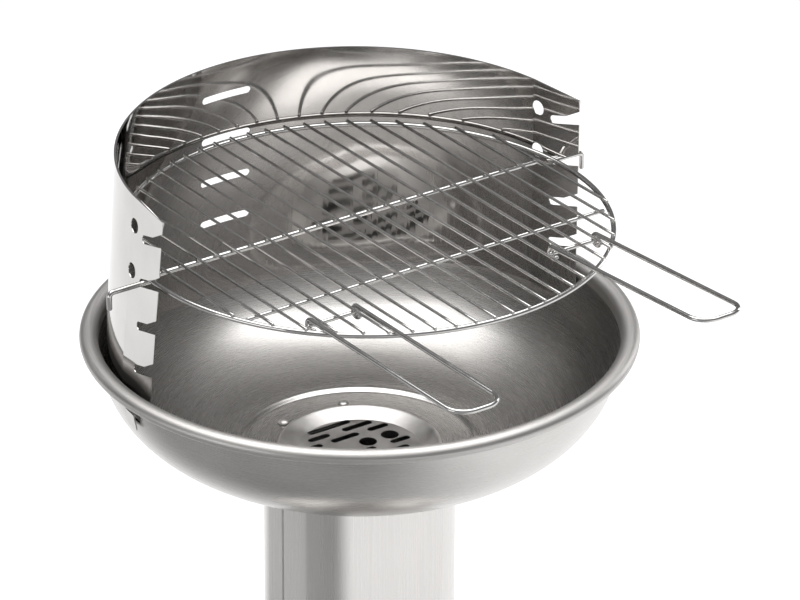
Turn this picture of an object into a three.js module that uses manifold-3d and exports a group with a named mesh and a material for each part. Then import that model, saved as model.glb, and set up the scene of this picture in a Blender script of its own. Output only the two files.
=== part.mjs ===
// Free-standing charcoal grill on a rectangular column. Millimetres, Z up.
// The origin is the centre of the base's underside, on the ground; the handles point to -Y.
import * as THREE from 'three';
import { mergeVertices } from 'three/addons/utils/BufferGeometryUtils.js';
import Module from 'manifold-3d';

const wasm = await Module();
wasm.setup();

// Sizes of the whole
const rimHeight = 700;
const fitGap = 0.3;
const overrun = 4;
const weldSink = 0.5;

// Base
const padRadius = 200;
const padThickness = 3;
const weightRadius = 204;
const weightThickness = 8;
const bossRadius = 108;
const bossHeight = 16;
const coverRadius = 222;
const coverThickness = 1.5;
const coverGroundGap = 1.5;
const coverShoulderHeight = 12;
const footBoltInsetX = 18.5;
const footBoltInsetY = 19.5;
const footBoltRadius = 4;
const footBoltHeadRadius = 7;
const footBoltHeadHeight = 5;
const footBoltDepth = 14;

// Column
const columnWidth = 181;
const columnDepth = 135;
const columnCorner = 36;
const columnWall = 1.2;
const seamY = 8;
const seamLip = 8;
const seamGap = 0.4;
const bracketWall = 2.5;
const bracketHeight = 34;
const columnScrewFrontY = -16;
const columnScrewRearY = 24;
const columnScrewInset = 17;
const screwRadius = 2.1;
const screwHeadRadius = 4.2;
const screwHeadHeight = 2.4;
const screwGrip = 7;
const ventCount = 5;
const ventWidth = 70;
const ventHeight = 7;
const ventPitch = 17;
const ventLowest = 70;

// Bowl
const bowlSheet = 1;
const rimRadius = 285;
const rimBeadWidth = 19;
const rimBeadHeight = 15;
const beadGap = 1.2;
const wallTopRadius = rimRadius - rimBeadWidth;
const wallUpperPull = 80;
const wallUpperLean = 1;
const floorDepth = 138;
const ledgeShare = 0.466165;
const ledgeRadius = ledgeShare * wallTopRadius;
const ledgeRise = 3.5;
const ledgeWidth = 6;
const wallLowerShare = 0.408451;
const wallLowerPull = wallLowerShare * (wallTopRadius - ledgeRadius);
const wallLowerRise = 3;
const bowlHoleInset = 7;
const supportMargin = 21.55;
const supportThickness = 4;
const bowlScrewX = 37.3;
const bowlScrewPast = 16;
const bowlScrewY = columnDepth / 2 + bowlScrewPast;
const bowlScrewCircle = Math.hypot(bowlScrewX, bowlScrewY);
const bowlScrewRadius = 3;
const bowlScrewHeadRadius = 5.8;
const bowlScrewHeadHeight = 3.8;
const nutRadius = 5.8;
const nutHeight = 5;
const nutShow = 2;

// Fire plate, measured from the bowl's floor
const plateSheet = 1.2;
const plateLipPlay = 1.65;
const plateLipRadius = bowlScrewCircle - bowlScrewHeadRadius - plateLipPlay;
const plateCrestInset = 2.5;
const plateCrestRise = 4;
const plateDiscInset = 19;
const plateDiscDrop = 4.2;
const slotWidth = 8;
const fingerHoleRadius = 9.3;

// Ash cup
const cupPlay = 9.3;
const cupRadius = columnDepth / 2 - columnWall - cupPlay;
const cupHeight = 105;
const cupSheet = 1;
const cupBeadRadius = 2;
const cupStrapWidth = 14;
const cupStrapThickness = 1.5;
const cupStrapRise = 42;

// Windshield, heights measured from the rim
const shieldTop = 195.3;
const shieldFoot = -75;
const shieldSheet = 0.8;
const shieldInset = 36;
const shieldRadius = rimRadius - shieldInset;
const shieldCentreY = -7.5;
const shieldBendY = 38;
const shieldFrontY = -29;
const shieldFlare = 8.7;
const shieldSpread = 0.046;
const shieldSettle = 0.067;
const shieldSqueeze = 0.025;
const shieldRise = 0.031;
const leanSteps = 8;
const hemHeight = 4;
const hemThickness = 2.2;
const levelCount = 4;
const levelInUse = 1;
const levelPitch = 48;
const notchSlope = 0.33;
const notchSlot = 9;
const notchSlotLength = 17.7;
const notchMouth = 15.4;
const rearSlotTop = 158.5;
const rearSlotWidth = 59;
const rearSlotHeight = 8;
const spitHoleRadius = 8;
const spitHoleY = 31;
const spitHoleHeights = [164.7, 115.2];
const hookY = 15;
const hookWidth = 18;
const hookSheet = 1.5;
const hookHeight = 28;
const hookLeg = 7;
const hookReach = 3.5;
const hookSide = 3;
const hookDrop = 17;
const wallSlotHeight = 11;

// Cooking grate, measured from the rim
const grateHeight = 116;
const grateCentreY = -14;
const ringWire = 5.5;
const ringOverlap = 1.3;
const ringRadius = shieldRadius + ringOverlap;
const barWire = 3.2;
const barPitch = 20.7;
const barEdge = 14;
const barOverhang = 2;
const supportWire = 5.5;
const supportWireY = 14.5;
const supportPast = 39.9;
const supportHookDrop = 19;
const crankInset = 10.3;
const crankRun = 8;
const wireBend = 4.5;
const crossWire = 4.4;
const crossWireShare = 0.42549;
const anchorWire = 4.4;
const anchorPast = 2;

// Handles
const handleWire = 5;
const handleLegShare = 2.6232;
const handleLegSpacing = handleLegShare * barPitch;
const handleTipPast = 148.7;
const handleTipBend = 20;
const handleRightRaiseDegrees = 3.4;
// Where the handles hang: shares of the ring's radius to the side and to the front. To the side they
// keep to whole bars, and a small share of the bar pitch off them, so that the legs pass between bars.
const handleSideShare = 0.5859;
const handleShiftShare = -0.0855;
const handleLeftFrontShare = 0.611266;
const handleRightFrontShare = 0.627247;
const eyeOpenDegrees = 170;

// How finely round shapes are divided
const bowlSides = 60;
const plateSides = 48;
const cupSides = 32;
const smallSides = 12;
const wireSides = 8;
const cornerSteps = 6;
const bendSteps = 4;

const steel = { color: 0xb9b6b2, roughness: 0.28, metalness: 1 };
const finishes = {
  satin: { color: 0xc4c1bd, roughness: 0.34, metalness: 1 },
  polished: { color: 0xcfcdca, roughness: 0.12, metalness: 1 },
  chrome: { color: 0xdddcda, roughness: 0.08, metalness: 1 },
  zinc: { color: 0x9d9d9b, roughness: 0.45, metalness: 1 },
  iron: { color: 0x2b2b2c, roughness: 0.8, metalness: 0.4 },
  rubber: { color: 0x1c1c1d, roughness: 0.9, metalness: 0 },
  steel,
};

const group = new THREE.Group();

function signedVolume(positions, index) {
  let total = 0;
  const a = new THREE.Vector3();
  const b = new THREE.Vector3();
  const c = new THREE.Vector3();
  for (let i = 0; i < index.count; i += 3) {
    a.fromBufferAttribute(positions, index.getX(i));
    b.fromBufferAttribute(positions, index.getX(i + 1));
    c.fromBufferAttribute(positions, index.getX(i + 2));
    total += a.dot(b.cross(c));
  }
  return total;
}

// A closed three.js geometry as a solid that can be joined and cut.
function solid(geometry) {
  const bare = geometry.index ? geometry.toNonIndexed() : geometry.clone();
  bare.deleteAttribute('normal');
  bare.deleteAttribute('uv');
  const merged = mergeVertices(bare, 1e-3);
  const index = merged.index;
  const flip = signedVolume(merged.attributes.position, index) < 0;
  const triangles = [];
  for (let i = 0; i < index.count; i += 3) {
    const corners = [index.getX(i), index.getX(i + 1), index.getX(i + 2)];
    if (new Set(corners).size < corners.length) continue;
    triangles.push(...(flip ? corners.reverse() : corners));
  }
  return new wasm.Manifold(new wasm.Mesh({
    numProp: 3,
    vertProperties: new Float32Array(merged.attributes.position.array),
    triVerts: new Uint32Array(triangles),
  }));
}

function geometryOf(manifold) {
  const mesh = manifold.getMesh();
  const geometry = new THREE.BufferGeometry();
  geometry.setAttribute('position', new THREE.BufferAttribute(Float32Array.from(mesh.vertProperties), 3));
  geometry.setIndex(Array.from(mesh.triVerts));
  geometry.computeVertexNormals();
  return geometry;
}

function addPiece(name, manifold, finish, parent = group) {
  const mesh = new THREE.Mesh(geometryOf(manifold), new THREE.MeshStandardMaterial(finish));
  mesh.name = name;
  parent.add(mesh);
  return mesh;
}

function joined(first, ...others) {
  return others.reduce((sum, other) => sum.add(other), first);
}

function cut(body, ...tools) {
  return tools.reduce((rest, tool) => rest.subtract(tool), body);
}

// A profile of [radius, height] points turned about the Z axis.
function turned(profile, sides = plateSides) {
  const points = profile.map(([radius, height]) => new THREE.Vector2(radius, height));
  const closes = profile[0][0] === 0 && profile[profile.length - 1][0] === 0;
  if (!closes) points.push(points[0].clone());
  return solid(new THREE.LatheGeometry(points, sides).rotateX(Math.PI / 2));
}

function rod(radius, bottom, top, sides = smallSides) {
  return turned([[0, bottom], [radius, bottom], [radius, top], [0, top]], sides);
}

function flatShape(points) {
  return new THREE.Shape(points.map(([x, y]) => new THREE.Vector2(x, y)));
}

// A flat outline in X and Y raised from one height to another.
function raised(points, bottom, top) {
  const geometry = new THREE.ExtrudeGeometry(flatShape(points), { depth: top - bottom, bevelEnabled: false });
  return solid(geometry.translate(0, 0, bottom));
}

// A flat outline in Y and Z carried along X.
function alongX(points, start, end) {
  const geometry = new THREE.ExtrudeGeometry(flatShape(points), { depth: end - start, bevelEnabled: false });
  geometry.rotateX(Math.PI / 2).rotateZ(Math.PI / 2);
  return solid(geometry.translate(start, 0, 0));
}

// A flat outline in X and Z carried along Y.
function alongY(points, start, end) {
  const geometry = new THREE.ExtrudeGeometry(flatShape(points), { depth: end - start, bevelEnabled: false });
  return solid(geometry.rotateX(Math.PI / 2).translate(0, end, 0));
}

function arcPoints(x, y, radius, from, to, steps) {
  return Array.from({ length: steps + 1 }, (_, i) => {
    const angle = from + ((to - from) * i) / steps;
    return [x + radius * Math.cos(angle), y + radius * Math.sin(angle)];
  });
}

function roundedRectangle(width, depth, corner, steps = cornerSteps) {
  const x = width / 2 - corner;
  const y = depth / 2 - corner;
  const quarter = Math.PI / 2;
  return [[x, y, 0], [-x, y, 1], [-x, -y, 2], [x, -y, 3]].flatMap(
    ([cx, cy, turn]) => arcPoints(cx, cy, corner, turn * quarter, (turn + 1) * quarter, steps));
}

// A slot with round ends, centred on a point, longer side along the first axis.
function stadium(x, y, length, width, steps = bendSteps) {
  const radius = width / 2;
  const reach = length / 2 - radius;
  return [
    ...arcPoints(x + reach, y, radius, -Math.PI / 2, Math.PI / 2, steps),
    ...arcPoints(x - reach, y, radius, Math.PI / 2, (3 * Math.PI) / 2, steps),
  ];
}

// The closed outline of a sheet whose middle line runs through the points.
function sheetOutline(points, thickness) {
  const half = thickness / 2;
  const sides = points.map((point, i) => {
    const before = points[Math.max(i - 1, 0)];
    const after = points[Math.min(i + 1, points.length - 1)];
    const into = new THREE.Vector2(point[0] - before[0], point[1] - before[1]).normalize();
    const out = new THREE.Vector2(after[0] - point[0], after[1] - point[1]).normalize();
    if (i === 0) into.copy(out);
    if (i === points.length - 1) out.copy(into);
    const mean = into.clone().add(out).normalize();
    const reach = half / Math.max(mean.dot(out), 0.5);
    return [-mean.y * reach, mean.x * reach];
  });
  const left = points.map(([x, y], i) => [x + sides[i][0], y + sides[i][1]]);
  const right = points.map(([x, y], i) => [x - sides[i][0], y - sides[i][1]]);
  return [...left, ...right.reverse()];
}

// A wire's middle line, kept as the places where the swept section stands.
class StationLine extends THREE.Curve {
  constructor(stations) {
    super();
    this.stations = stations;
  }

  get steps() {
    return this.stations.length - 1;
  }

  getPointAt(share) {
    return this.stations[Math.round(share * this.steps)].clone();
  }

  getTangentAt(share) {
    const i = Math.round(share * this.steps);
    const here = this.stations[i];
    const into = here.clone().sub(this.stations[Math.max(i - 1, 0)]).normalize();
    const out = this.stations[Math.min(i + 1, this.steps)].clone().sub(here).normalize();
    return into.add(out).normalize();
  }
}

// Stations along straight runs between corners, with a round bend at each corner.
function bent(points, bendRadius) {
  const corners = points.map(([x, y, z]) => new THREE.Vector3(x, y, z));
  const stations = [corners[0]];
  for (let i = 1; i < corners.length - 1; i += 1) {
    const into = corners[i].clone().sub(corners[i - 1]).normalize();
    const out = corners[i + 1].clone().sub(corners[i]).normalize();
    const turn = into.angleTo(out);
    const steps = Math.ceil((turn / (Math.PI / 2)) * bendSteps);
    const inward = out.clone().sub(into).normalize();
    const centre = corners[i].clone().addScaledVector(inward, bendRadius / Math.cos(turn / 2));
    const start = corners[i].clone().addScaledVector(into, -bendRadius * Math.tan(turn / 2)).sub(centre);
    for (let k = 0; k <= steps; k += 1) {
      const angle = (turn * k) / steps;
      const point = centre.clone().addScaledVector(start, Math.cos(angle));
      stations.push(point.addScaledVector(into, bendRadius * Math.sin(angle)));
    }
  }
  stations.push(corners[corners.length - 1]);
  return stations;
}

function wire(stations, diameter, sides = wireSides) {
  const section = new THREE.Shape(Array.from({ length: sides }, (_, i) => {
    const angle = (2 * Math.PI * (i + 1 / 2)) / sides;
    return new THREE.Vector2((diameter / 2) * Math.cos(angle), (diameter / 2) * Math.sin(angle));
  }));
  const line = new StationLine(stations);
  return solid(new THREE.ExtrudeGeometry(section, { steps: line.steps, extrudePath: line }));
}

// Heights of the stack, from the ground up
const weightBottom = padThickness + fitGap;
const weightTop = weightBottom + weightThickness;
const bossTop = weightTop + bossHeight;
const plateauTop = bossTop + fitGap + coverThickness;
const columnBottom = plateauTop + fitGap;
const floorTop = rimHeight - floorDepth;
const supportTop = floorTop - bowlSheet - fitGap;
const supportBottom = supportTop - supportThickness;
const columnTop = supportBottom - fitGap;
const bracketFloorTop = columnBottom + bracketWall;
const plateCrestRadius = plateLipRadius - plateCrestInset;
const plateDiscRadius = plateLipRadius - plateDiscInset;
const bowlHoleRadius = plateLipRadius - bowlHoleInset;
const supportRadius = bowlScrewCircle + supportMargin;
const footBoltPlaces = [-1, 1].flatMap((x) => [-1, 1].map(
  (y) => [x * (columnWidth / 2 - footBoltInsetX), y * (columnDepth / 2 - footBoltInsetY)]));

// Heights in the grate, from the ring's middle
const ringLevel = rimHeight + grateHeight;
const barLevel = ringLevel + ringWire / 2 + barWire / 2 - weldSink;
const underBars = barLevel - barWire / 2 - fitGap;
const ringMiddleRadius = ringRadius - ringWire / 2;
const supportInnerLevel = underBars - supportWire / 2;
const supportOuterLevel = ringLevel - ringWire / 2 - fitGap - supportWire / 2;

function pins(places, radius, bottom, top) {
  return places.map(([x, y]) => rod(radius, bottom, top).translate([x, y, 0]));
}

function makeBase() {
  addPiece('floor_pad', rod(padRadius, 0, padThickness, plateSides), finishes.rubber);

  const weight = turned([
    [0, weightBottom], [weightRadius, weightBottom], [weightRadius, weightTop], [bossRadius, weightTop],
    [bossRadius, bossTop], [0, bossTop],
  ]);
  const boltEnd = bossTop - footBoltDepth;
  const weightHoles = pins(footBoltPlaces, footBoltRadius + fitGap, boltEnd - fitGap, bossTop + overrun);
  addPiece('base_weight', cut(weight, ...weightHoles), finishes.iron);

  const shoulder = coverRadius - coverShoulderHeight;
  const crown = [
    [0, plateauTop - coverThickness / 2],
    [bossRadius + fitGap + coverThickness, plateauTop - coverThickness / 2],
  ];
  const dropStart = crown[1];
  const dropEnd = [shoulder, coverShoulderHeight + coverThickness];
  const dropShares = [0.25, 0.5, 0.75];
  const drop = dropShares.map((share) => [
    dropStart[0] + (dropEnd[0] - dropStart[0]) * share,
    dropStart[1] + (dropEnd[1] - dropStart[1]) * share * (2 - share) * share * (3 - 2 * share),
  ]);
  const rim = arcPoints(shoulder, coverThickness, coverShoulderHeight, Math.PI / 2, 0, bendSteps);
  const skirt = [coverRadius, coverGroundGap];
  const outline = sheetOutline([...crown, ...drop, ...rim.slice(0, -1), skirt], coverThickness);
  outline[0][0] = 0;
  outline[outline.length - 1][0] = 0;
  const coverHoles = pins(footBoltPlaces, footBoltRadius + fitGap, bossTop, plateauTop + overrun);
  addPiece('base_cover', cut(turned(outline), ...coverHoles), finishes.satin);

  footBoltPlaces.forEach(([x, y], i) => {
    const seat = bracketFloorTop + fitGap;
    const head = rod(footBoltHeadRadius, seat, seat + footBoltHeadHeight, 6);
    const shank = rod(footBoltRadius, boltEnd, seat + footBoltHeadHeight / 2);
    addPiece(`foot_bolt_${i + 1}`, joined(head, shank).translate([x, y, 0]), finishes.zinc);
  });
}

// Column screws: which side, which shell, which end
const columnScrewHeights = [columnBottom + columnScrewInset, columnTop - columnScrewInset];
const columnScrewPlaces = [-1, 1].flatMap((side) => [columnScrewFrontY, columnScrewRearY].flatMap(
  (y) => columnScrewHeights.map((z) => [side, y, z])));

function columnScrewHoles() {
  return columnScrewPlaces.map(([side, y, z]) => {
    const reach = columnWidth / 2;
    const inner = reach - columnWall - bracketWall - overrun;
    const hole = rod(screwRadius + fitGap, inner, reach + overrun);
    return hole.rotate([0, 90 * side, 0]).translate([0, y, z]);
  });
}

function bracketWidths() {
  const play = 2 * (columnWall + fitGap);
  return [columnWidth - play, columnDepth - play, columnCorner - columnWall - fitGap];
}

function bracketCollar(bottom, top) {
  const [width, depth, corner] = bracketWidths();
  const thin = 2 * bracketWall;
  const outer = raised(roundedRectangle(width, depth, corner), bottom, top);
  const inner = raised(
    roundedRectangle(width - thin, depth - thin, corner - bracketWall), bottom - overrun, top + overrun);
  return cut(outer, inner);
}

// Room for the inward lips of the two shells, where the collar passes the seam.
function seamNotches(bottom, top) {
  const half = columnWall + seamGap + fitGap;
  const near = columnWidth / 2 - seamLip - 2 * fitGap;
  return [-1, 1].map((side) => raised([
    [side * near, seamY - half], [side * columnWidth, seamY - half],
    [side * columnWidth, seamY + half], [side * near, seamY + half],
  ], bottom - overrun, top + overrun));
}

function makeBrackets() {
  const [width, depth, corner] = bracketWidths();
  const footTop = columnBottom + bracketHeight;
  const foot = bracketCollar(columnBottom, footTop);
  const floor = raised(roundedRectangle(width, depth, corner), columnBottom, bracketFloorTop);
  const footHoles = pins(footBoltPlaces, footBoltRadius + fitGap, columnBottom - overrun, bracketFloorTop + overrun);
  const footTools = [...footHoles, ...columnScrewHoles(), ...seamNotches(columnBottom, footTop)];
  addPiece('column_foot_bracket', cut(joined(foot, floor), ...footTools), finishes.zinc);

  const collarFoot = supportBottom - bracketHeight;
  const collarNotches = seamNotches(collarFoot, supportBottom - overrun - fitGap);
  const collar = cut(bracketCollar(collarFoot, supportBottom + weldSink), ...collarNotches);
  const plate = turned([
    [bowlHoleRadius, supportBottom], [supportRadius, supportBottom],
    [supportRadius, supportTop], [bowlHoleRadius, supportTop],
  ]);
  const throat = rod(bowlHoleRadius, supportBottom - plateDiscDrop, supportTop + overrun, plateSides);
  const topTools = [throat, ...columnScrewHoles(), ...bowlScrewHoles(supportBottom, supportTop)];
  addPiece('column_top_bracket', cut(joined(collar, plate), ...topTools), finishes.zinc);
}

// One half of the column in plan: the middle line from lip to lip round the given side.
function shellOutline(side) {
  const inset = columnWall / 2;
  const halfWidth = columnWidth / 2 - inset;
  const radius = columnCorner - inset;
  const edge = seamY + side * (seamGap / 2 + inset);
  const cornerX = columnWidth / 2 - columnCorner;
  const cornerY = side * (columnDepth / 2 - columnCorner);
  const quarter = (side * Math.PI) / 2;
  return sheetOutline([
    [halfWidth - seamLip, edge],
    [halfWidth, edge],
    ...arcPoints(cornerX, cornerY, radius, 0, quarter, cornerSteps),
    ...arcPoints(-cornerX, cornerY, radius, quarter, 2 * quarter, cornerSteps),
    [-halfWidth, edge],
    [-halfWidth + seamLip, edge],
  ], columnWall);
}

function makeColumn() {
  const holes = columnScrewHoles();
  const front = raised(shellOutline(-1), columnBottom, columnTop);
  addPiece('column_front_shell', cut(front, ...holes), finishes.satin);

  const vents = Array.from({ length: ventCount }, (_, i) => {
    const height = columnBottom + ventLowest + i * ventPitch;
    return alongY(stadium(0, height, ventWidth, ventHeight), columnDepth / 4, columnDepth);
  });
  const rear = raised(shellOutline(1), columnBottom, columnTop);
  addPiece('column_rear_shell', cut(rear, ...holes, ...vents), finishes.satin);

  columnScrewPlaces.forEach(([side, y, z], i) => {
    const seat = columnWidth / 2 + fitGap;
    const domeShares = [[1, 0.35], [0.8, 0.75], [0.45, 0.97], [0, 1]];
    const dome = domeShares.map(([r, h]) => [r * screwHeadRadius, seat + h * screwHeadHeight]);
    const screw = turned([
      [0, seat - screwGrip], [screwRadius, seat - screwGrip], [screwRadius, seat],
      [screwHeadRadius, seat], ...dome,
    ], smallSides);
    const placed = screw.rotate([0, 90 * side, 0]).translate([0, y, z]);
    addPiece(`column_screw_${i + 1}`, placed, finishes.steel);
  });
}

const bowlScrewPlaces = [-1, 1].flatMap((x) => [-1, 1].map((y) => [x * bowlScrewX, y * bowlScrewY]));

function bowlScrewHoles(bottom, top) {
  return pins(bowlScrewPlaces, bowlScrewRadius + fitGap, bottom - overrun, top + overrun);
}

// Middle line of the bowl's sheet, from the hole out to the rolled rim.
function bowlLine(steps = 8) {
  const half = bowlSheet / 2;
  const floorLevel = floorTop - half;
  const ledge = [ledgeRadius, floorLevel + ledgeRise];
  const top = [wallTopRadius, rimHeight - rimBeadHeight];
  const controlHigh = [top[0] - wallUpperLean, top[1] - wallUpperPull];
  const controlLow = [ledge[0] + wallLowerPull, ledge[1] + wallLowerRise];
  const wall = Array.from({ length: steps }, (_, i) => {
    const t = (i + 1) / steps;
    const s = 1 - t;
    return [0, 1].map((axis) => s ** 3 * ledge[axis] + 3 * s * s * t * controlLow[axis]
      + 3 * s * t * t * controlHigh[axis] + t ** 3 * top[axis]);
  });
  return [
    [bowlHoleRadius, floorLevel],
    [ledgeRadius - ledgeWidth, floorLevel],
    ledge,
    ...wall,
  ];
}

// The rim bead rolls up over the top and outward, and closes under itself.
function beadLine(steps = 7) {
  const half = bowlSheet / 2;
  const width = rimBeadWidth / 2 - half;
  const height = rimBeadHeight / 2 - half;
  const centre = [rimRadius - rimBeadWidth / 2, rimHeight - rimBeadHeight / 2];
  const last = Math.asin(Math.min((beadGap + bowlSheet) / width, 1)) + Math.PI / 2;
  return Array.from({ length: steps + 1 }, (_, i) => {
    const angle = Math.PI - ((Math.PI + last) * i) / steps;
    return [centre[0] + width * Math.cos(angle), centre[1] + height * Math.sin(angle)];
  });
}

function hookSlotTool(side) {
  const high = rimHeight - hookHeight + hookSheet / 2 + fitGap;
  const near = wallTopRadius - 2 * hookLeg;
  const far = wallTopRadius + overrun;
  const half = hookWidth / 2 + hookSide;
  const points = [[side * near, high - wallSlotHeight], [side * far, high - wallSlotHeight],
    [side * far, high], [side * near, high]];
  return alongY(points, hookY - half, hookY + half);
}

function makeBowl() {
  const outline = sheetOutline([...bowlLine(), ...beadLine()], bowlSheet);
  const body = turned(outline, bowlSides);
  const holes = bowlScrewHoles(floorTop - bowlSheet, floorTop);
  addPiece('bowl', cut(body, ...holes, hookSlotTool(-1), hookSlotTool(1)), finishes.satin);

  bowlScrewPlaces.forEach(([x, y], i) => {
    const seat = floorTop + fitGap;
    const tip = supportBottom - fitGap - nutHeight - nutShow;
    const domeShares = [[1, 0.3], [0.85, 0.68], [0.55, 0.92], [0, 1]];
    const dome = domeShares.map(([r, h]) => [r * bowlScrewHeadRadius, seat + h * bowlScrewHeadHeight]);
    const screw = turned([
      [0, tip], [bowlScrewRadius, tip], [bowlScrewRadius, seat], [bowlScrewHeadRadius, seat], ...dome,
    ], smallSides);
    addPiece(`bowl_screw_${i + 1}`, screw.translate([x, y, 0]), finishes.polished);
    const nutTop = supportBottom - fitGap;
    const nutBody = rod(nutRadius, nutTop - nutHeight, nutTop, 6);
    const thread = rod(bowlScrewRadius + fitGap, nutTop - nutHeight - overrun, nutTop + overrun);
    addPiece(`bowl_nut_${i + 1}`, cut(nutBody, thread).translate([x, y, 0]), finishes.zinc);
  });
}

// Rows of slots and the two finger holes, as shares of the disc's radius.
const slotRowShares = [
  [0.86, [[0, 0.8]]],
  [0.65, [[-0.33, 0.4], [0.4, 0.56]]],
  [0.43, [[-0.62, 0.4], [0.02, 0.52], [0.65, 0.38]]],
  [0.18, [[-0.56, 0.5]]],
  [-0.12, [[-0.62, 0.4], [-0.02, 0.5], [0.7, 0.36]]],
  [-0.36, [[-0.36, 0.5], [0.4, 0.6]]],
  [-0.6, [[-0.4, 0.4], [0.3, 0.56]]],
  [-0.84, [[0, 0.76]]],
];
const fingerHoleShares = [[0.24, 0.11], [0.66, 0.11]];

function makeFirePlate() {
  const half = plateSheet / 2;
  const low = floorTop - plateDiscDrop - half;
  const line = [
    [0, low],
    [plateDiscRadius - half, low],
    [plateCrestRadius - plateCrestRise / 2, floorTop + plateCrestRise - plateSheet],
    [plateCrestRadius, floorTop + plateCrestRise - half],
    [plateLipRadius - half, floorTop + plateCrestRise - plateSheet],
    [plateLipRadius, floorTop + fitGap],
  ];
  const outline = sheetOutline(line, plateSheet);
  outline[0][0] = 0;
  outline[outline.length - 1][0] = 0;
  const bottom = low - overrun;
  const top = low + overrun;
  const slots = slotRowShares.flatMap(([rowShare, pieceShares]) => pieceShares.map(
    ([middleShare, lengthShare]) => raised(
      stadium(middleShare * plateDiscRadius, rowShare * plateDiscRadius, lengthShare * plateDiscRadius, slotWidth),
      bottom, top)));
  const fingers = fingerHoleShares.map(([xShare, rowShare]) => rod(fingerHoleRadius, bottom, top, plateSides / 2)
    .translate([xShare * plateDiscRadius, rowShare * plateDiscRadius, 0]));
  addPiece('fire_plate', cut(turned(outline), ...slots, ...fingers), finishes.polished);
}

function makeAshCup() {
  const bottom = bracketFloorTop + fitGap;
  const half = cupSheet / 2;
  const top = bottom + cupHeight;
  const bead = arcPoints(cupRadius + cupBeadRadius - half, top, cupBeadRadius, Math.PI, -Math.PI / 3, bendSteps);
  const line = [[0, bottom + half], [cupRadius - half, bottom + half], ...bead];
  const outline = sheetOutline(line, cupSheet);
  outline[0][0] = 0;
  outline[outline.length - 1][0] = 0;
  addPiece('ash_cup', turned(outline, cupSides), finishes.steel);

  const cupInside = (cupRadius - cupSheet) * Math.cos(Math.PI / cupSides);
  const strapReach = Math.sqrt(cupInside ** 2 - (cupStrapWidth / 2) ** 2);
  const strapRadius = strapReach - fitGap - cupStrapThickness / 2;
  const legFoot = top - cupStrapRise / 2;
  const arch = arcPoints(0, 0, 1, 0, Math.PI, 2 * cornerSteps)
    .map(([x, z]) => [x * strapRadius, top + z * cupStrapRise]);
  const strap = sheetOutline([[strapRadius, legFoot], ...arch, [-strapRadius, legFoot]], cupStrapThickness);
  addPiece('ash_cup_strap', alongY(strap, -cupStrapWidth / 2, cupStrapWidth / 2), finishes.steel);
}

// The straight flange spreads a little towards the front, which lengthens every section across it.
const shieldBendX = Math.sqrt(shieldRadius ** 2 - (shieldBendY - shieldCentreY) ** 2);
const shieldFrontX = shieldBendX + shieldFlare;
const flangeSpread = shieldFlare / (shieldBendY - shieldFrontY);
const flangeStretch = Math.hypot(1, flangeSpread);

// Plan of the windshield's middle line at its top, from the right front edge round the rear.
function shieldPlan(steps = 40) {
  const start = Math.asin((shieldBendY - shieldCentreY) / shieldRadius);
  const arc = arcPoints(0, shieldCentreY, shieldRadius, start, Math.PI - start, steps);
  return [[shieldFrontX, shieldFrontY], ...arc, [-shieldFrontX, shieldFrontY]];
}

function shieldLevel(height) {
  return rimHeight + height;
}

// How far down the sheet a height lies, as a share of the sheet's radius.
function shieldDepth(z) {
  return (shieldLevel(shieldTop) - z) / shieldRadius;
}

// Rolled straight, the sheet then spreads sideways going down, stands back at its foot and rises to the rear.
function lean([x, y, z]) {
  const depth = shieldDepth(z);
  return [
    x * (1 + depth * shieldSpread),
    y + depth * (shieldRadius * shieldSettle - (y - shieldCentreY) * shieldSqueeze),
    z + (y - hookY) * shieldRise,
  ];
}

// Where a place of the leaned sheet lies on the straight one.
function beforeLean(y, z) {
  const flat = [y, z];
  for (let i = 0; i < leanSteps; i += 1) {
    const [, leanedY, leanedZ] = lean([0, ...flat]);
    flat[0] += y - leanedY;
    flat[1] += z - leanedZ;
  }
  return flat;
}

// The wire rests low at the back of the round inner end of the notch in use.
const notchTilt = Math.atan(notchSlope);
const notchRadius = notchSlot / 2;
const notchPlay = (notchRadius - supportWire / 2 - fitGap) * Math.SQRT1_2;
const [wireFlatY, wireFlatZ] = beforeLean(supportWireY, supportOuterLevel);
const notchEndY = wireFlatY - notchPlay * (Math.cos(notchTilt) - Math.sin(notchTilt));
const notchEndZ = wireFlatZ + notchPlay * (Math.cos(notchTilt) + Math.sin(notchTilt));

// An open notch in the front edges, running down to the rear.
function notchTool(lift) {
  const middle = notchEndZ + lift;
  const reach = notchRadius / Math.cos(notchTilt);
  const level = (y) => middle + (notchEndY - y) * notchSlope;
  const beyond = shieldFrontY - overrun;
  const slotEnd = notchEndY - notchSlotLength;
  const mouth = level(shieldFrontY) - reach + notchMouth;
  const quarter = Math.PI / 2;
  return alongX([
    [beyond, level(beyond) - reach],
    ...arcPoints(notchEndY, middle, notchRadius, -quarter - notchTilt, quarter - notchTilt, bendSteps),
    [slotEnd, level(slotEnd) + reach],
    [shieldFrontY, mouth],
    [beyond, mouth],
  ], -2 * shieldRadius, 2 * shieldRadius);
}

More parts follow.
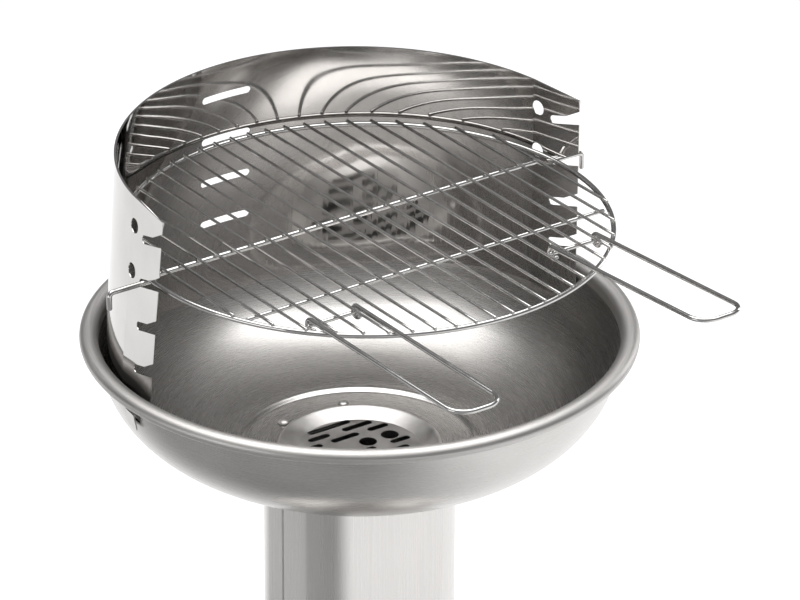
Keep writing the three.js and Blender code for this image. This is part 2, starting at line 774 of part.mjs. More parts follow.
function makeWindshield() {
  const bottom = shieldLevel(shieldFoot);
  const top = shieldLevel(shieldTop);
  const sheet = raised(sheetOutline(shieldPlan(), shieldSheet), bottom, top);
  const hem = raised(sheetOutline(shieldPlan(), hemThickness), top - hemHeight, top);
  const levels = Array.from({ length: levelCount }, (_, i) => i * levelPitch);
  const notches = levels.map((drop) => notchTool(levelInUse * levelPitch - drop));
  const slots = levels.map((drop) => alongY(
    stadium(0, shieldLevel(rearSlotTop - drop), rearSlotWidth, rearSlotHeight), shieldRadius / 2, 2 * shieldRadius));
  const spits = spitHoleHeights.map((height) => alongX(
    arcPoints(spitHoleY, shieldLevel(height), spitHoleRadius, 0, 2 * Math.PI, smallSides + 4).slice(1),
    -2 * shieldRadius, 2 * shieldRadius));
  const straight = cut(joined(sheet, hem), ...notches, ...slots, ...spits);
  const leaned = straight.warp((point) => {
    [point[0], point[1], point[2]] = lean(point);
  });
  const inside = bowlLine().slice(2).map(([radius, height]) => [radius - bowlSheet / 2 - fitGap, height]);
  const bead = rimHeight - rimBeadHeight;
  const far = rimRadius + overrun;
  const wallFace = wallTopRadius - bowlSheet / 2 - fitGap;
  const outside = turned([
    ...inside, [wallFace, bead + overrun], [far, bead + overrun], [far, inside[0][1]],
  ], bowlSides);
  addPiece('windshield', leaned.subtract(outside), finishes.polished);
}

// The flange's outer face beside the hooks, at a height from the rim.
function shieldFaceX(height, y = hookY) {
  const [flatY, flatZ] = beforeLean(y, shieldLevel(height));
  const [middle] = lean([shieldBendX + (shieldBendY - flatY) * flangeSpread, flatY, flatZ]);
  return middle + (shieldSheet / 2) * flangeStretch;
}

// Radius of the bowl wall's middle line at a height.
function bowlWallRadius(height) {
  const line = bowlLine(24);
  for (let i = 1; i < line.length; i += 1) {
    const [low, high] = [line[i - 1], line[i]];
    if (low[1] <= height && height <= high[1]) {
      const share = (height - low[1]) / (high[1] - low[1]);
      return low[0] + (high[0] - low[0]) * share;
    }
  }
  return wallTopRadius;
}

function makeHooks() {
  const armHeight = rimHeight - hookHeight;
  const wallFace = (height) => Math.sqrt(bowlWallRadius(height) ** 2 - (Math.abs(hookY) + hookWidth / 2) ** 2);
  [['left', -1], ['right', 1]].forEach(([word, side]) => {
    const legPlay = (fitGap + hookSheet / 2) * flangeStretch;
    const faceLow = shieldFaceX(-hookHeight - hookLeg) + legPlay;
    const faceHigh = shieldFaceX(-hookHeight) + legPlay;
    const tip = bowlWallRadius(armHeight) + hookReach;
    const hook = sheetOutline([
      [side * faceLow, armHeight - hookLeg],
      [side * faceHigh, armHeight],
      [side * tip, armHeight],
      [side * (tip - wallFace(armHeight) + wallFace(armHeight - hookDrop)), armHeight - hookDrop],
    ], hookSheet);
    const half = hookWidth / 2;
    const slant = (shieldFaceX(-hookHeight, hookY - half) - shieldFaceX(-hookHeight, hookY + half)) / hookWidth;
    const slanted = alongY(hook, hookY - half, hookY + half).warp((point) => {
      point[0] += side * (hookY - point[1]) * slant;
    });
    addPiece(`windshield_hook_${word}`, slanted, finishes.steel);
  });
}

function makeGrate() {
  const ring = solid(new THREE.TorusGeometry(ringMiddleRadius, ringWire / 2, wireSides, bowlSides))
    .translate([0, grateCentreY, ringLevel]);
  const barsPerSide = Math.floor((ringMiddleRadius - barEdge) / barPitch);
  const bars = Array.from({ length: 2 * barsPerSide + 1 }, (_, i) => {
    const x = (i - barsPerSide) * barPitch;
    const half = Math.sqrt(ringMiddleRadius ** 2 - x ** 2) + barOverhang;
    return solid(new THREE.CylinderGeometry(barWire / 2, barWire / 2, 2 * half, wireSides))
      .translate([x, grateCentreY, barLevel]);
  });
  addPiece('grate_ring_and_bars', joined(ring, ...bars), finishes.chrome);

  const crankX = ringRadius - crankInset;
  const hookX = ringRadius + supportPast;
  const half = [
    [crankX - crankRun, supportWireY, supportInnerLevel],
    [crankX, supportWireY, supportOuterLevel],
    [hookX, supportWireY, supportOuterLevel],
    [hookX, supportWireY, supportOuterLevel - supportHookDrop],
  ];
  const mirrored = half.map(([x, y, z]) => [-x, y, z]).reverse();
  addPiece('grate_support_wire', wire(bent([...mirrored, ...half], wireBend), supportWire), finishes.chrome);

  const crossWireY = grateCentreY - crossWireShare * ringRadius;
  const crossHalf = Math.sqrt((ringMiddleRadius - ringWire / 2 - fitGap) ** 2 - (crossWireY - grateCentreY) ** 2)
    - crossWire / 2;
  const crossLevel = underBars - crossWire / 2;
  const cross = bent([[-crossHalf, crossWireY, crossLevel], [crossHalf, crossWireY, crossLevel]], wireBend);
  addPiece('grate_cross_wire', wire(cross, crossWire), finishes.chrome);
}

// A loop of wire whose two ends are curled round an anchor wire under the bars.
function makeHandle(word, side, frontShare, raiseDegrees) {
  const barsAside = Math.floor((handleSideShare * ringRadius) / barPitch);
  const middleX = (side * barsAside + handleShiftShare) * barPitch;
  const anchorY = grateCentreY - frontShare * ringRadius;
  const anchorLevel = underBars - anchorWire / 2;
  const half = handleLegSpacing / 2;
  const anchorHalf = half + handleWire / 2 + anchorPast;
  const anchor = bent([
    [middleX - anchorHalf, anchorY, anchorLevel], [middleX + anchorHalf, anchorY, anchorLevel],
  ], wireBend);
  addPiece(`handle_anchor_${word}`, wire(anchor, anchorWire), finishes.chrome);

  // The legs leave the top of the curls level, just above the ring.
  const legLevel = ringLevel + ringWire / 2 + fitGap + handleWire / 2 - anchorLevel;
  const open = (-eyeOpenDegrees * Math.PI) / 180;
  const curl = (x) => arcPoints(0, 0, legLevel, open, Math.PI / 2, 2 * bendSteps)
    .map(([y, z]) => new THREE.Vector3(x, y, z));
  const tip = grateCentreY - ringRadius - handleTipPast - anchorY;
  const loop = bent([[-half, 0, legLevel], [-half, tip, legLevel], [half, tip, legLevel], [half, 0, legLevel]],
    handleTipBend);
  const stations = [...curl(-half), ...loop.slice(1, -1), ...curl(half).reverse()];
  const handle = wire(stations, handleWire).rotate([-raiseDegrees, 0, 0]);
  addPiece(`handle_${word}`, handle.translate([middleX, anchorY, anchorLevel]), finishes.chrome);
}

makeBase();
makeBrackets();
makeColumn();
makeBowl();
makeFirePlate();
makeAshCup();
makeWindshield();
makeHooks();
makeGrate();
makeHandle('left', -1, handleLeftFrontShare, 0);
makeHandle('right', 1, handleRightFrontShare, handleRightRaiseDegrees);

export default group;
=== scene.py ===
import math

import bmesh
import bpy
from bpy.props import FloatProperty, FloatVectorProperty, IntProperty, PointerProperty
from mathutils import Matrix, Vector


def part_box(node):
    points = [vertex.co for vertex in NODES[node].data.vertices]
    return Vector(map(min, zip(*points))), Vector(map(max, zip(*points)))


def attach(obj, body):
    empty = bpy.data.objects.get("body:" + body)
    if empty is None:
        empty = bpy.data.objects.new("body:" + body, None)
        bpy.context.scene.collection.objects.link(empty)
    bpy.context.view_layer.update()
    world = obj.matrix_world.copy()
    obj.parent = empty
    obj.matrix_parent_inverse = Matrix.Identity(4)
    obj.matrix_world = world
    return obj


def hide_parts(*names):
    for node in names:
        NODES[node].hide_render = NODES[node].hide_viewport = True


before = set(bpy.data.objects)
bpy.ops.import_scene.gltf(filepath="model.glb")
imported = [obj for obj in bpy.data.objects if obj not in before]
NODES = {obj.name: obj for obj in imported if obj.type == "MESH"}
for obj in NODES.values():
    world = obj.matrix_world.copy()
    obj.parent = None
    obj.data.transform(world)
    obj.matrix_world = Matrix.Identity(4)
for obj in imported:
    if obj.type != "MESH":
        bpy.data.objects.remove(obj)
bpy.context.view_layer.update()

bl_info = {
    "name": "Charcoal grill on a column",
    "version": (1, 0, 0),
    "blender": (4, 5, 0),
    "location": "3D View > Sidebar > Grill",
    "description": "Builds the finished surfaces of a free-standing charcoal grill, piece by piece",
    "category": "Object",
}

GAP = 0.0003  # between pieces that touch on the real grill
QUARTER, FULL = math.pi / 2, 2 * math.pi


# ---- Sizes and colours that a user would change ----

def length(name, description, default):
    return FloatProperty(name=name, description=description, default=default, unit="LENGTH")


def share(name, description, default):
    return FloatProperty(name=name, description=description, default=default)


def colour(name, description, default):
    return FloatVectorProperty(name=name, description=description, default=default, subtype="COLOR")


class GrillBowlSizes(bpy.types.PropertyGroup):
    rim_height: length("Rim height", "Top of the rolled rim above the ground", 0.7)
    rim_radius: length("Rim radius", "Outer radius of the rolled rim", 0.285)
    sheet: length("Sheet", "Thickness of the bowl's sheet", 0.001)
    bead_width: length("Bead width", "Width of the rolled rim", 0.019)
    bead_height: length("Bead height", "Height of the rolled rim", 0.015)
    wall_radius: length("Wall radius", "Radius of the wall where the rim begins", 0.266)
    floor_depth: length("Floor depth", "Depth of the flat floor below the rim", 0.138)
    ledge_radius: length("Ledge radius", "Radius of the small step round the floor", 0.124)
    ledge_rise: length("Ledge rise", "Height of the small step", 0.0035)
    hole_radius: length("Hole radius", "Radius of the hole under the fire plate", 0.077)


class GrillShieldSizes(bpy.types.PropertyGroup):
    top: length("Top", "Height of the top edge above the rim, beside the hooks", 0.1953)
    radius: length("Radius", "Radius of the sheet's middle at the top", 0.249)
    centre_y: length("Centre", "Place of the arc's centre", -0.0075)
    bend_y: length("Bend", "Where the arc turns into the straight flanges", 0.038)
    front_x: length("Front spread", "Half the distance between the front edges", 0.253508)
    front_y: length("Front edge", "Place of the flanges' front edges", -0.029)
    spread: share("Spread", "How much the sheet spreads for each unit of depth", 0.046)
    settle: share("Settle", "How far the sheet stands back for each unit of depth", 0.067)
    squeeze: share("Squeeze", "How much shallower the sheet gets for each unit of depth", 0.025)
    rise: share("Rise", "How much the sheet rises towards the rear", 0.031)
    rise_y: length("Rise start", "Where the rise is nought, beside the hooks", 0.015)
    sheet: length("Sheet", "Thickness of the sheet", 0.0008)
    level_pitch: length("Level pitch", "Height between two grate levels", 0.048)
    notch_slope: share("Notch slope", "Rise of a notch towards the front", 0.33)
    notch_height: length("Notch height", "Width of a notch's narrow part", 0.009)
    notch_run: length("Notch run", "Length of a notch's narrow part", 0.0177)
    notch_mouth: length("Notch mouth", "Height of a notch's open end", 0.0154)


class GrillGrateSizes(bpy.types.PropertyGroup):
    height: length("Height", "Height of the ring's middle above the rim", 0.116)
    centre_y: length("Centre", "Place of the ring's centre", -0.014)
    ring_radius: length("Ring radius", "Outer radius of the ring", 0.2503)
    ring_wire: length("Ring wire", "Diameter of the ring's wire", 0.0055)
    bar_wire: length("Bar wire", "Diameter of the bars", 0.0032)
    bar_count: IntProperty(name="Bars", description="Number of bars", default=23)
    bar_pitch: length("Bar pitch", "Distance between two bars", 0.0207)
    leg_spacing: length("Leg spacing", "Distance between a handle's legs", 0.0543)
    handle_wire: length("Handle wire", "Diameter of the handles' wire", 0.005)
    wire_y: length("Support wire", "Place of the wire that hangs in the notches", 0.0145)
    anchor_wire: length("Anchor wire", "Diameter of the wires that carry the handles", 0.0044)
    handle_tip_y: length("Handle tip", "Place of the handles' tips", -0.413)


class GrillColumnSizes(bpy.types.PropertyGroup):
    width: length("Width", "Width of the column", 0.181)
    depth: length("Depth", "Depth of the column", 0.135)
    corner: length("Corner", "Radius of the column's corners", 0.036)
    wall: length("Wall", "Thickness of the column's sheet", 0.0012)
    seam_y: length("Seam", "Place of the seam between the two shells", 0.008)


class GrillColours(bpy.types.PropertyGroup):
    satin: colour("Satin steel", "Colour of the bowl, its rim, the fire plate and the base", (0.60, 0.585, 0.57))
    mirror: colour("Bright steel", "Colour of the windshield and the column", (0.66, 0.645, 0.63))
    chrome: colour("Chrome", "Colour of the wires", (0.63, 0.62, 0.61))
    zinc: colour("Zinc", "Colour of the brackets, nuts, bolts and ash cup", (0.42, 0.43, 0.43))
    iron: colour("Iron", "Colour of the weight", (0.035, 0.035, 0.037))
    rubber: colour("Rubber", "Colour of the pad", (0.02, 0.02, 0.021))


def sizes(name):
    return getattr(bpy.context.scene, "grill_" + name)


# ---- Outlines ----

def arc(x, y, radius, start, end, steps):
    turns = [start + (end - start) * i / steps for i in range(steps + 1)]
    return [(x + radius * math.cos(t), y + radius * math.sin(t)) for t in turns]


def circle(x, y, radius, steps):
    return arc(x, y, radius, 0, FULL, steps)[1:]


def stadium(x, y, length, width, steps=8):
    """A long hole with round ends."""
    radius = width / 2
    reach = length / 2 - radius
    right = arc(x + reach, y, radius, -QUARTER, QUARTER, steps)
    return right + arc(x - reach, y, radius, QUARTER, 3 * QUARTER, steps)


def ease(t):
    """Rises from 0 to 1, level at both ends."""
    return 3 * t * t - 2 * t ** 3


def sheet_outline(points, thickness):
    """The closed outline of a sheet whose middle line runs through the points."""
    left, right = [], []
    for i, point in enumerate(points):
        here = Vector(point)
        into = (here - Vector(points[max(i - 1, 0)])).normalized() if i else None
        out = (Vector(points[i + 1]) - here).normalized() if i + 1 < len(points) else into
        into = into or out
        mean = (into + out).normalized()
        side = Vector((-mean.y, mean.x)) * (thickness / 2 / max(mean.dot(out), 0.5))
        left.append(here + side)
        right.append(here - side)
    return left + right[::-1]


def turned_outline(points, thickness):
    """The outline of a turned sheet whose middle line starts on the axis."""
    outline = sheet_outline(points, thickness)
    outline[0].x = outline[-1].x = 0
    return outline


def bent(points, radius, steps=10):
    """Points along straight runs between corners, with a round bend at each corner."""
    corners = [Vector(p) for p in points]
    line = [corners[0]]
    for before, corner, after in zip(corners, corners[1:], corners[2:]):
        into = (corner - before).normalized()
        out = (after - corner).normalized()
        turn = into.angle(out)
        count = max(2, round(steps * turn / QUARTER))
        centre = corner + (out - into).normalized() * (radius / math.cos(turn / 2))
        start = corner - into * (radius * math.tan(turn / 2)) - centre
        for k in range(count + 1):
            angle = turn * k / count
            line.append(centre + start * math.cos(angle) + into * (radius * math.sin(angle)))
    line.append(corners[-1])
    return line


# ---- Meshes ----

ON_AXIS = 1e-7  # a radius that counts as nought
UPRIGHT = 0.9  # how upright a wire may start and still be given an upward normal
CAP_TURNS = (0.0, 0.5, 0.9, 1.25)  # rings of a wire's rounded end
CAP_LENGTH, CAP_CLEARANCE = 0.8, 0.82  # of the wire's radius


def build_mesh(name, maker):
    mesh = bpy.data.meshes.new(name)
    built = bmesh.new()
    maker(built)
    bmesh.ops.recalc_face_normals(built, faces=built.faces)
    built.to_mesh(mesh)
    built.free()
    return mesh


def new_piece(name, maker, material, body, node):
    """Makes an object that stands for a CAD node and rides on a body of the frame."""
    piece = bpy.data.objects.new(name, build_mesh(name, maker))
    bpy.context.scene.collection.objects.link(piece)
    piece.data.materials.append(material)
    shade(piece)
    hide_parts(node)
    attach(piece, body)
    return piece


def shade(piece, degrees=32):
    """Smooth faces, with sharp edges where two faces meet at more than the angle."""
    piece.data.shade_smooth()
    piece.data.set_sharp_from_angle(angle=math.radians(degrees))


def lathe(built, profile, sides, closed=True):
    """Turns a profile of (radius, height) about the Z axis."""
    turns = [FULL * i / sides for i in range(sides)]
    rings = []
    for radius, height in profile:
        if radius < ON_AXIS:
            rings.append([built.verts.new((0, 0, height))])
        else:
            rings.append([built.verts.new((radius * math.cos(t), radius * math.sin(t), height)) for t in turns])
    pairs = list(zip(rings, rings[1:]))
    if closed:
        pairs.append((rings[-1], rings[0]))
    for low, high in pairs:
        if len(low) == 1 and len(high) == 1:
            continue
        for i in range(sides):
            j = (i + 1) % sides
            corners = [low[i % len(low)], low[j % len(low)], high[j % len(high)], high[i % len(high)]]
            unique = list(dict.fromkeys(corners))
            if len(unique) > 2:
                built.faces.new(unique)


def tube(built, line, diameter, sides=14, cyclic=False):
    """A round wire along a line of points, with rounded ends unless it closes on itself."""
    points = [Vector(p) for p in line]
    count = len(points)
    radius = diameter / 2
    normal = None
    rings = []
    for i, point in enumerate(points):
        before = points[i - 1] if i or cyclic else point
        after = points[(i + 1) % count] if i + 1 < count or cyclic else point
        tangent = (after - before).normalized()
        if normal is None:
            normal = tangent.orthogonal().normalized()
            if abs(tangent.z) < UPRIGHT:
                normal = (Vector((0, 0, 1)) - tangent * tangent.z).normalized()
        normal = (normal - tangent * normal.dot(tangent)).normalized()
        rings.append((point, normal, tangent.cross(normal), radius))
        if i == 0:
            first_tangent = tangent
    if not cyclic:
        for end, outward in ((0, -first_tangent), (-1, tangent)):
            point, normal, other, _ = rings[end]
            caps = [(point + outward * (radius * (math.sin(a) - 1) * CAP_LENGTH), normal, other,
                     radius * math.cos(a)) for a in CAP_TURNS]
            keep = [ring for ring in rings if (ring[0] - point).length > radius * CAP_CLEARANCE]
            rings = caps[::-1] + keep if end == 0 else keep + caps
    turns = [FULL * k / sides for k in range(sides)]
    made = [[built.verts.new(p + n * (r * math.cos(t)) + o * (r * math.sin(t))) for t in turns]
            for p, n, o, r in rings]
    pairs = list(zip(made, made[1:]))
    if cyclic:
        pairs.append((made[-1], made[0]))
    for low, high in pairs:
        for k in range(sides):
            m = (k + 1) % sides
            built.faces.new((low[k], low[m], high[m], high[k]))
    if not cyclic:
        built.faces.new(made[0][::-1])
        built.faces.new(made[-1])


def along_x(y, z, x):
    return x, y, z


def along_y(x, z, y):
    return x, y, z


def along_z(x, y, z):
    return x, y, z


def plate(built, outline, low, high, place=along_z):
    """A flat outline between two depths; place turns a point of it and a depth into a point in space."""
    bottom = [built.verts.new(place(a, b, low)) for a, b in outline]
    top = [built.verts.new(place(a, b, high)) for a, b in outline]
    count = len(outline)
    built.faces.new(bottom[::-1])
    built.faces.new(top)
    for i in range(count):
        j = (i + 1) % count
        built.faces.new((bottom[i], bottom[j], top[j], top[i]))


def reshape(piece, operation, maker):
    """Cuts shapes out of a piece, or joins them to it, and keeps the result as its mesh."""
    other = bpy.data.objects.new("other", build_mesh("other", maker))
    bpy.context.scene.collection.objects.link(other)
    modifier = piece.modifiers.new("reshape", "BOOLEAN")
    modifier.operation = operation
    modifier.solver = "EXACT"
    modifier.use_self = operation == "DIFFERENCE"
    modifier.object = other
    graph = bpy.context.evaluated_depsgraph_get()
    result = bpy.data.meshes.new_from_object(piece.evaluated_get(graph))
    piece.modifiers.clear()
    materials = list(piece.data.materials)
    piece.data = result
    result.materials.clear()
    for material in materials:
        result.materials.append(material)
    bpy.data.objects.remove(other)


# ---- Materials ----

def add_node(tree, kind, sources=None, values=None, **settings):
    """Adds a node: its settings, the outputs that run into its inputs, and plain values of other inputs."""
    made = tree.nodes.new(kind)
    for key, value in settings.items():
        setattr(made, key, value)
    for key, value in (values or {}).items():
        made.inputs[key].default_value = value
    for key, source in (sources or {}).items():
        tree.links.new(source, made.inputs[key])
    return made


class Finish:
    """Wires the nodes of one metal or rubber finish."""

    def __init__(self, name, colour, roughness, metallic=1.0):
        self.material = bpy.data.materials.new(name)
        self.material.use_nodes = True
        self.tree = self.material.node_tree
        self.shader = self.tree.nodes["Principled BSDF"]
        self.shader.inputs["Base Color"].default_value = (*colour, 1)
        self.shader.inputs["Roughness"].default_value = roughness
        self.shader.inputs["Metallic"].default_value = metallic
        self.colour = tuple(colour)
        self.place = self.add("ShaderNodeTexCoord").outputs["Object"]

    def add(self, kind, sources=None, values=None, **settings):
        return add_node(self.tree, kind, sources, values, **settings)

    def feed(self, source, name):
        self.tree.links.new(source, self.shader.inputs[name])

    def stretched(self, scale):
        """Object coordinates stretched along the axes."""
        return self.add("ShaderNodeMapping", {"Vector": self.place}, {"Scale": scale}).outputs["Vector"]

    def round_grain(self, across, along):
        """Coordinates that run round the Z axis: fine across the radius and height, long round the turn."""
        parts = self.add("ShaderNodeSeparateXYZ", {0: self.place}).outputs
        flat = self.add("ShaderNodeCombineXYZ", {"X": parts["X"], "Y": parts["Y"]}).outputs[0]
        radius = self.add("ShaderNodeVectorMath", {0: flat}, operation="LENGTH").outputs["Value"]
        turn = self.add("ShaderNodeVectorMath", {0: flat}, operation="NORMALIZE").outputs["Vector"]
        wide = self.add("ShaderNodeVectorMath", {0: turn}, {"Scale": along}, operation="SCALE").outputs[0]
        both = self.add("ShaderNodeMath", {0: radius, 1: parts["Z"]}, operation="ADD").outputs[0]
        high = self.add("ShaderNodeMath", {0: both}, {1: across}, operation="MULTIPLY").outputs[0]
        lifted = self.add("ShaderNodeCombineXYZ", {"Z": high}).outputs[0]
        return self.add("ShaderNodeVectorMath", {0: wide, 1: lifted}, operation="ADD").outputs["Vector"]

    def noise(self, vector, scale, detail, rough=0.55):
        values = {"Scale": scale, "Detail": detail, "Roughness": rough}
        return self.add("ShaderNodeTexNoise", {"Vector": vector}, values).outputs["Fac"]

    def ramp(self, value, low, high, start=0.3, end=0.7):
        """Runs from low to high while the value runs from start to end."""
        values = {"From Min": start, "From Max": end, "To Min": low, "To Max": high}
        return self.add("ShaderNodeMapRange", {"Value": value}, values).outputs["Result"]

    def tint(self, value, low, high, **ends):
        """The finish's colour, darker and lighter with a value."""
        shades = {socket: (*(min(c * times, 1) for c in self.colour), 1)
                  for socket, times in (("A", low), ("B", high))}
        mix = self.add("ShaderNodeMix", {"Factor": self.ramp(value, 0, 1, **ends)}, shades, data_type="RGBA")
        self.feed(mix.outputs["Result"], "Base Color")

    def roughness(self, value, low, high, **ends):
        self.feed(self.ramp(value, low, high, **ends), "Roughness")

    def bump(self, value, distance, strength):
        made = self.add("ShaderNodeBump", {"Height": value}, {"Distance": distance, "Strength": strength})
        self.feed(made.outputs["Normal"], "Normal")


def spun_satin():
    """Stainless sheet spun in a lathe: fine rings round the axis and a soft cloudy gloss."""
    steel = Finish("spun_satin_steel", sizes("colours").satin, roughness=0.2)
    rings = steel.noise(steel.round_grain(across=1700, along=3.0), scale=1.0, detail=2.0)
    clouds = steel.noise(steel.place, scale=9.0, detail=4.0)
    steel.tint(clouds, 0.94, 1.05)
    steel.roughness(rings, 0.25, 0.29)
    steel.bump(rings, distance=0.000005, strength=0.3)
    return steel.material


def brushed_rim():
    """The rolled rim: brushed round its length, duller than the wall."""
    steel = Finish("brushed_rim_steel", sizes("colours").satin, roughness=0.3)
    rings = steel.noise(steel.round_grain(across=1500, along=2.2), scale=1.0, detail=3.0, rough=0.7)
    steel.tint(rings, 0.86, 1.08)
    steel.roughness(rings, 0.4, 0.52)
    steel.bump(rings, distance=0.00003, strength=0.6)
    return steel.material


def column_satin():
    """The column's sheet, brushed along its height."""
    steel = Finish("column_satin_steel", sizes("colours").mirror, roughness=0.28)
    grain = steel.noise(steel.stretched((900, 900, 6)), scale=1.0, detail=3.0, rough=0.6)
    clouds = steel.noise(steel.place, scale=5.0, detail=2.0)
    steel.tint(clouds, 1.0, 1.09)
    steel.roughness(grain, 0.24, 0.36)
    steel.bump(grain, distance=0.00001, strength=0.5)
    return steel.material


def bright_sheet():
    """Thin mirror sheet: a sharp gloss that wavers where the sheet isn't flat."""
    steel = Finish("bright_windshield_steel", sizes("colours").mirror, roughness=0.07)
    waves = steel.noise(steel.stretched((1, 1, 1.6)), scale=5.5, detail=1.0, rough=0.3)
    smears = steel.noise(steel.place, scale=24.0, detail=5.0)
    steel.tint(smears, 0.89, 0.97)
    steel.roughness(smears, 0.04, 0.08)
    steel.bump(waves, distance=0.004, strength=1.0)
    return steel.material


def pressed_bright():
    """Pressed and turned small pieces: smeared gloss over fine rings."""
    steel = Finish("pressed_bright_steel", sizes("colours").satin, roughness=0.32)
    smears = steel.noise(steel.place, scale=40.0, detail=4.0)
    steel.tint(smears, 0.9, 1.04)
    steel.roughness(smears, 0.28, 0.4)
    rings = steel.noise(steel.round_grain(across=900, along=3.0), scale=1.0, detail=2.0)
    steel.bump(rings, distance=0.00001, strength=0.4)
    return steel.material


def chrome_wire():
    """Chromed wire with the faint unevenness of drawing."""
    wire = Finish("chromed_wire", sizes("colours").chrome, roughness=0.1)
    drawn = wire.noise(wire.place, scale=90.0, detail=4.0)
    wire.tint(drawn, 0.9, 1.05)
    wire.roughness(drawn, 0.06, 0.14)
    wire.bump(drawn, distance=0.00005, strength=0.5)
    return wire.material


def zinc_plate():
    """Dull zinc with small spangles."""
    zinc = Finish("dull_zinc", sizes("colours").zinc, roughness=0.42)
    spangle = zinc.add("ShaderNodeTexVoronoi", {"Vector": zinc.place}, {"Scale": 140}).outputs["Distance"]
    zinc.tint(spangle, 0.85, 1.12, start=0.0, end=0.8)
    zinc.roughness(spangle, 0.36, 0.5, start=0.0, end=0.8)
    zinc.bump(zinc.noise(zinc.place, scale=500.0, detail=3.0), distance=0.00003, strength=0.5)
    return zinc.material


def cast_iron():
    """Gritty black casting."""
    iron = Finish("cast_iron_black", sizes("colours").iron, roughness=0.8, metallic=0.3)
    grit = iron.noise(iron.place, scale=420.0, detail=5.0, rough=0.7)
    iron.tint(grit, 0.7, 1.5)
    iron.roughness(grit, 0.7, 0.92)
    iron.bump(grit, distance=0.0004, strength=0.7)
    return iron.material


def pad_rubber():
    """Matt black rubber with a fine grain."""
    rubber = Finish("pad_rubber_black", sizes("colours").rubber, roughness=0.75, metallic=0.0)
    grain = rubber.noise(rubber.place, scale=700.0, detail=3.0)
    rubber.tint(grain, 0.75, 1.4)
    rubber.roughness(grain, 0.68, 0.86)
    rubber.bump(grain, distance=0.0001, strength=0.6)
    return rubber.material


MAKERS = {
    "satin": spun_satin, "rim": brushed_rim, "column": column_satin, "bright": bright_sheet,
    "pressed": pressed_bright, "chrome": chrome_wire, "zinc": zinc_plate, "iron": cast_iron,
    "rubber": pad_rubber,
}
made_finishes = {}


def finish(name):
    if name not in made_finishes:
        made_finishes[name] = MAKERS[name]()
    return made_finishes[name]


def dress(node, name, bevel=0.0):
    """Gives a CAD node its finish, and small rounded edges."""
    piece = NODES[node]
    piece.data.materials.clear()
    piece.data.materials.append(finish(name))
    if bevel:
        modifier = piece.modifiers.new("soft_edges", "BEVEL")
        modifier.width = bevel
        modifier.segments = 2
        modifier.limit_method = "ANGLE"
        modifier.angle_limit = math.radians(40)


def turned_piece(name, profile, sides, finish_name, body, node):
    """A piece turned from a profile that starts and ends on the axis."""
    return new_piece(name, lambda b: lathe(b, profile, sides, closed=False), finish(finish_name), body, node)


# ---- The bowl ----

SCREW_PLACES = [(x, y) for x in (-0.0373, 0.0373) for y in (-0.0835, 0.0835)]
SCREW_HOLE = 0.0033  # radius
SCREW_SHANK, SCREW_HEAD = 0.003, 0.0058  # radii
SCREW_BROW, SCREW_DOME = 0.0011, 0.0027  # the head's straight edge, and the dome from there to the top
HOOK_SLOT_X, HOOK_SLOT_Y = (0.245, 0.2705), (0.003, 0.027)
HOOK_SLOT_DROPS = (0.0379, 0.02695)  # a slot's bottom and top, below the rim
LEDGE_WIDTH, LEDGE_START = 0.006, 0.0075  # the small step, and where the floor ends before it
LEDGE_STEPS = (0.0, 0.2, 0.35, 0.5, 0.65, 0.8)
WALL_START = 2 + len(LEDGE_STEPS)  # the line's first point on the wall
WALL_LOW_PULL, WALL_HIGH_PULL = (0.058, 0.003), (-0.001, -0.08)
CURL_GAP = 0.0012  # between the rolled edge and the wall
RIM_MARGIN = 0.0005  # faces this far up and out count as the rim
THROUGH = 0.01  # how far a cutter reaches past a sheet


def floor_level():
    return sizes("bowl").rim_height - sizes("bowl").floor_depth


def bowl_line(steps=60):
    """Middle line of the bowl's sheet from the hole up to the rim."""
    s = sizes("bowl")
    level = floor_level() - s.sheet / 2
    ledge = Vector((s.ledge_radius, level + s.ledge_rise))
    top = Vector((s.wall_radius, s.rim_height - s.bead_height))
    low = ledge + Vector(WALL_LOW_PULL)
    high = top + Vector(WALL_HIGH_PULL)
    line = [(s.hole_radius, level), (s.ledge_radius - LEDGE_START, level)]
    foot = s.ledge_radius - LEDGE_WIDTH
    line += [(foot + LEDGE_WIDTH * t, level + s.ledge_rise * ease(t)) for t in LEDGE_STEPS]
    for i in range(steps + 1):
        t = i / steps
        u = 1 - t
        line.append(tuple(ledge * u ** 3 + low * (3 * u ** 2 * t) + high * (3 * u * t * t) + top * t ** 3))
    return line


def bead_line(steps=36):
    """The rolled rim's curl, from the wall over the top and back to it."""
    s = sizes("bowl")
    width = (s.bead_width - s.sheet) / 2
    height = (s.bead_height - s.sheet) / 2
    x = s.rim_radius - s.bead_width / 2
    z = s.rim_height - s.bead_height / 2
    last = math.asin((CURL_GAP + s.sheet) / width) + QUARTER
    turns = [math.pi - (math.pi + last) * i / steps for i in range(steps + 1)]
    return [(x + width * math.cos(t), z + height * math.sin(t)) for t in turns]


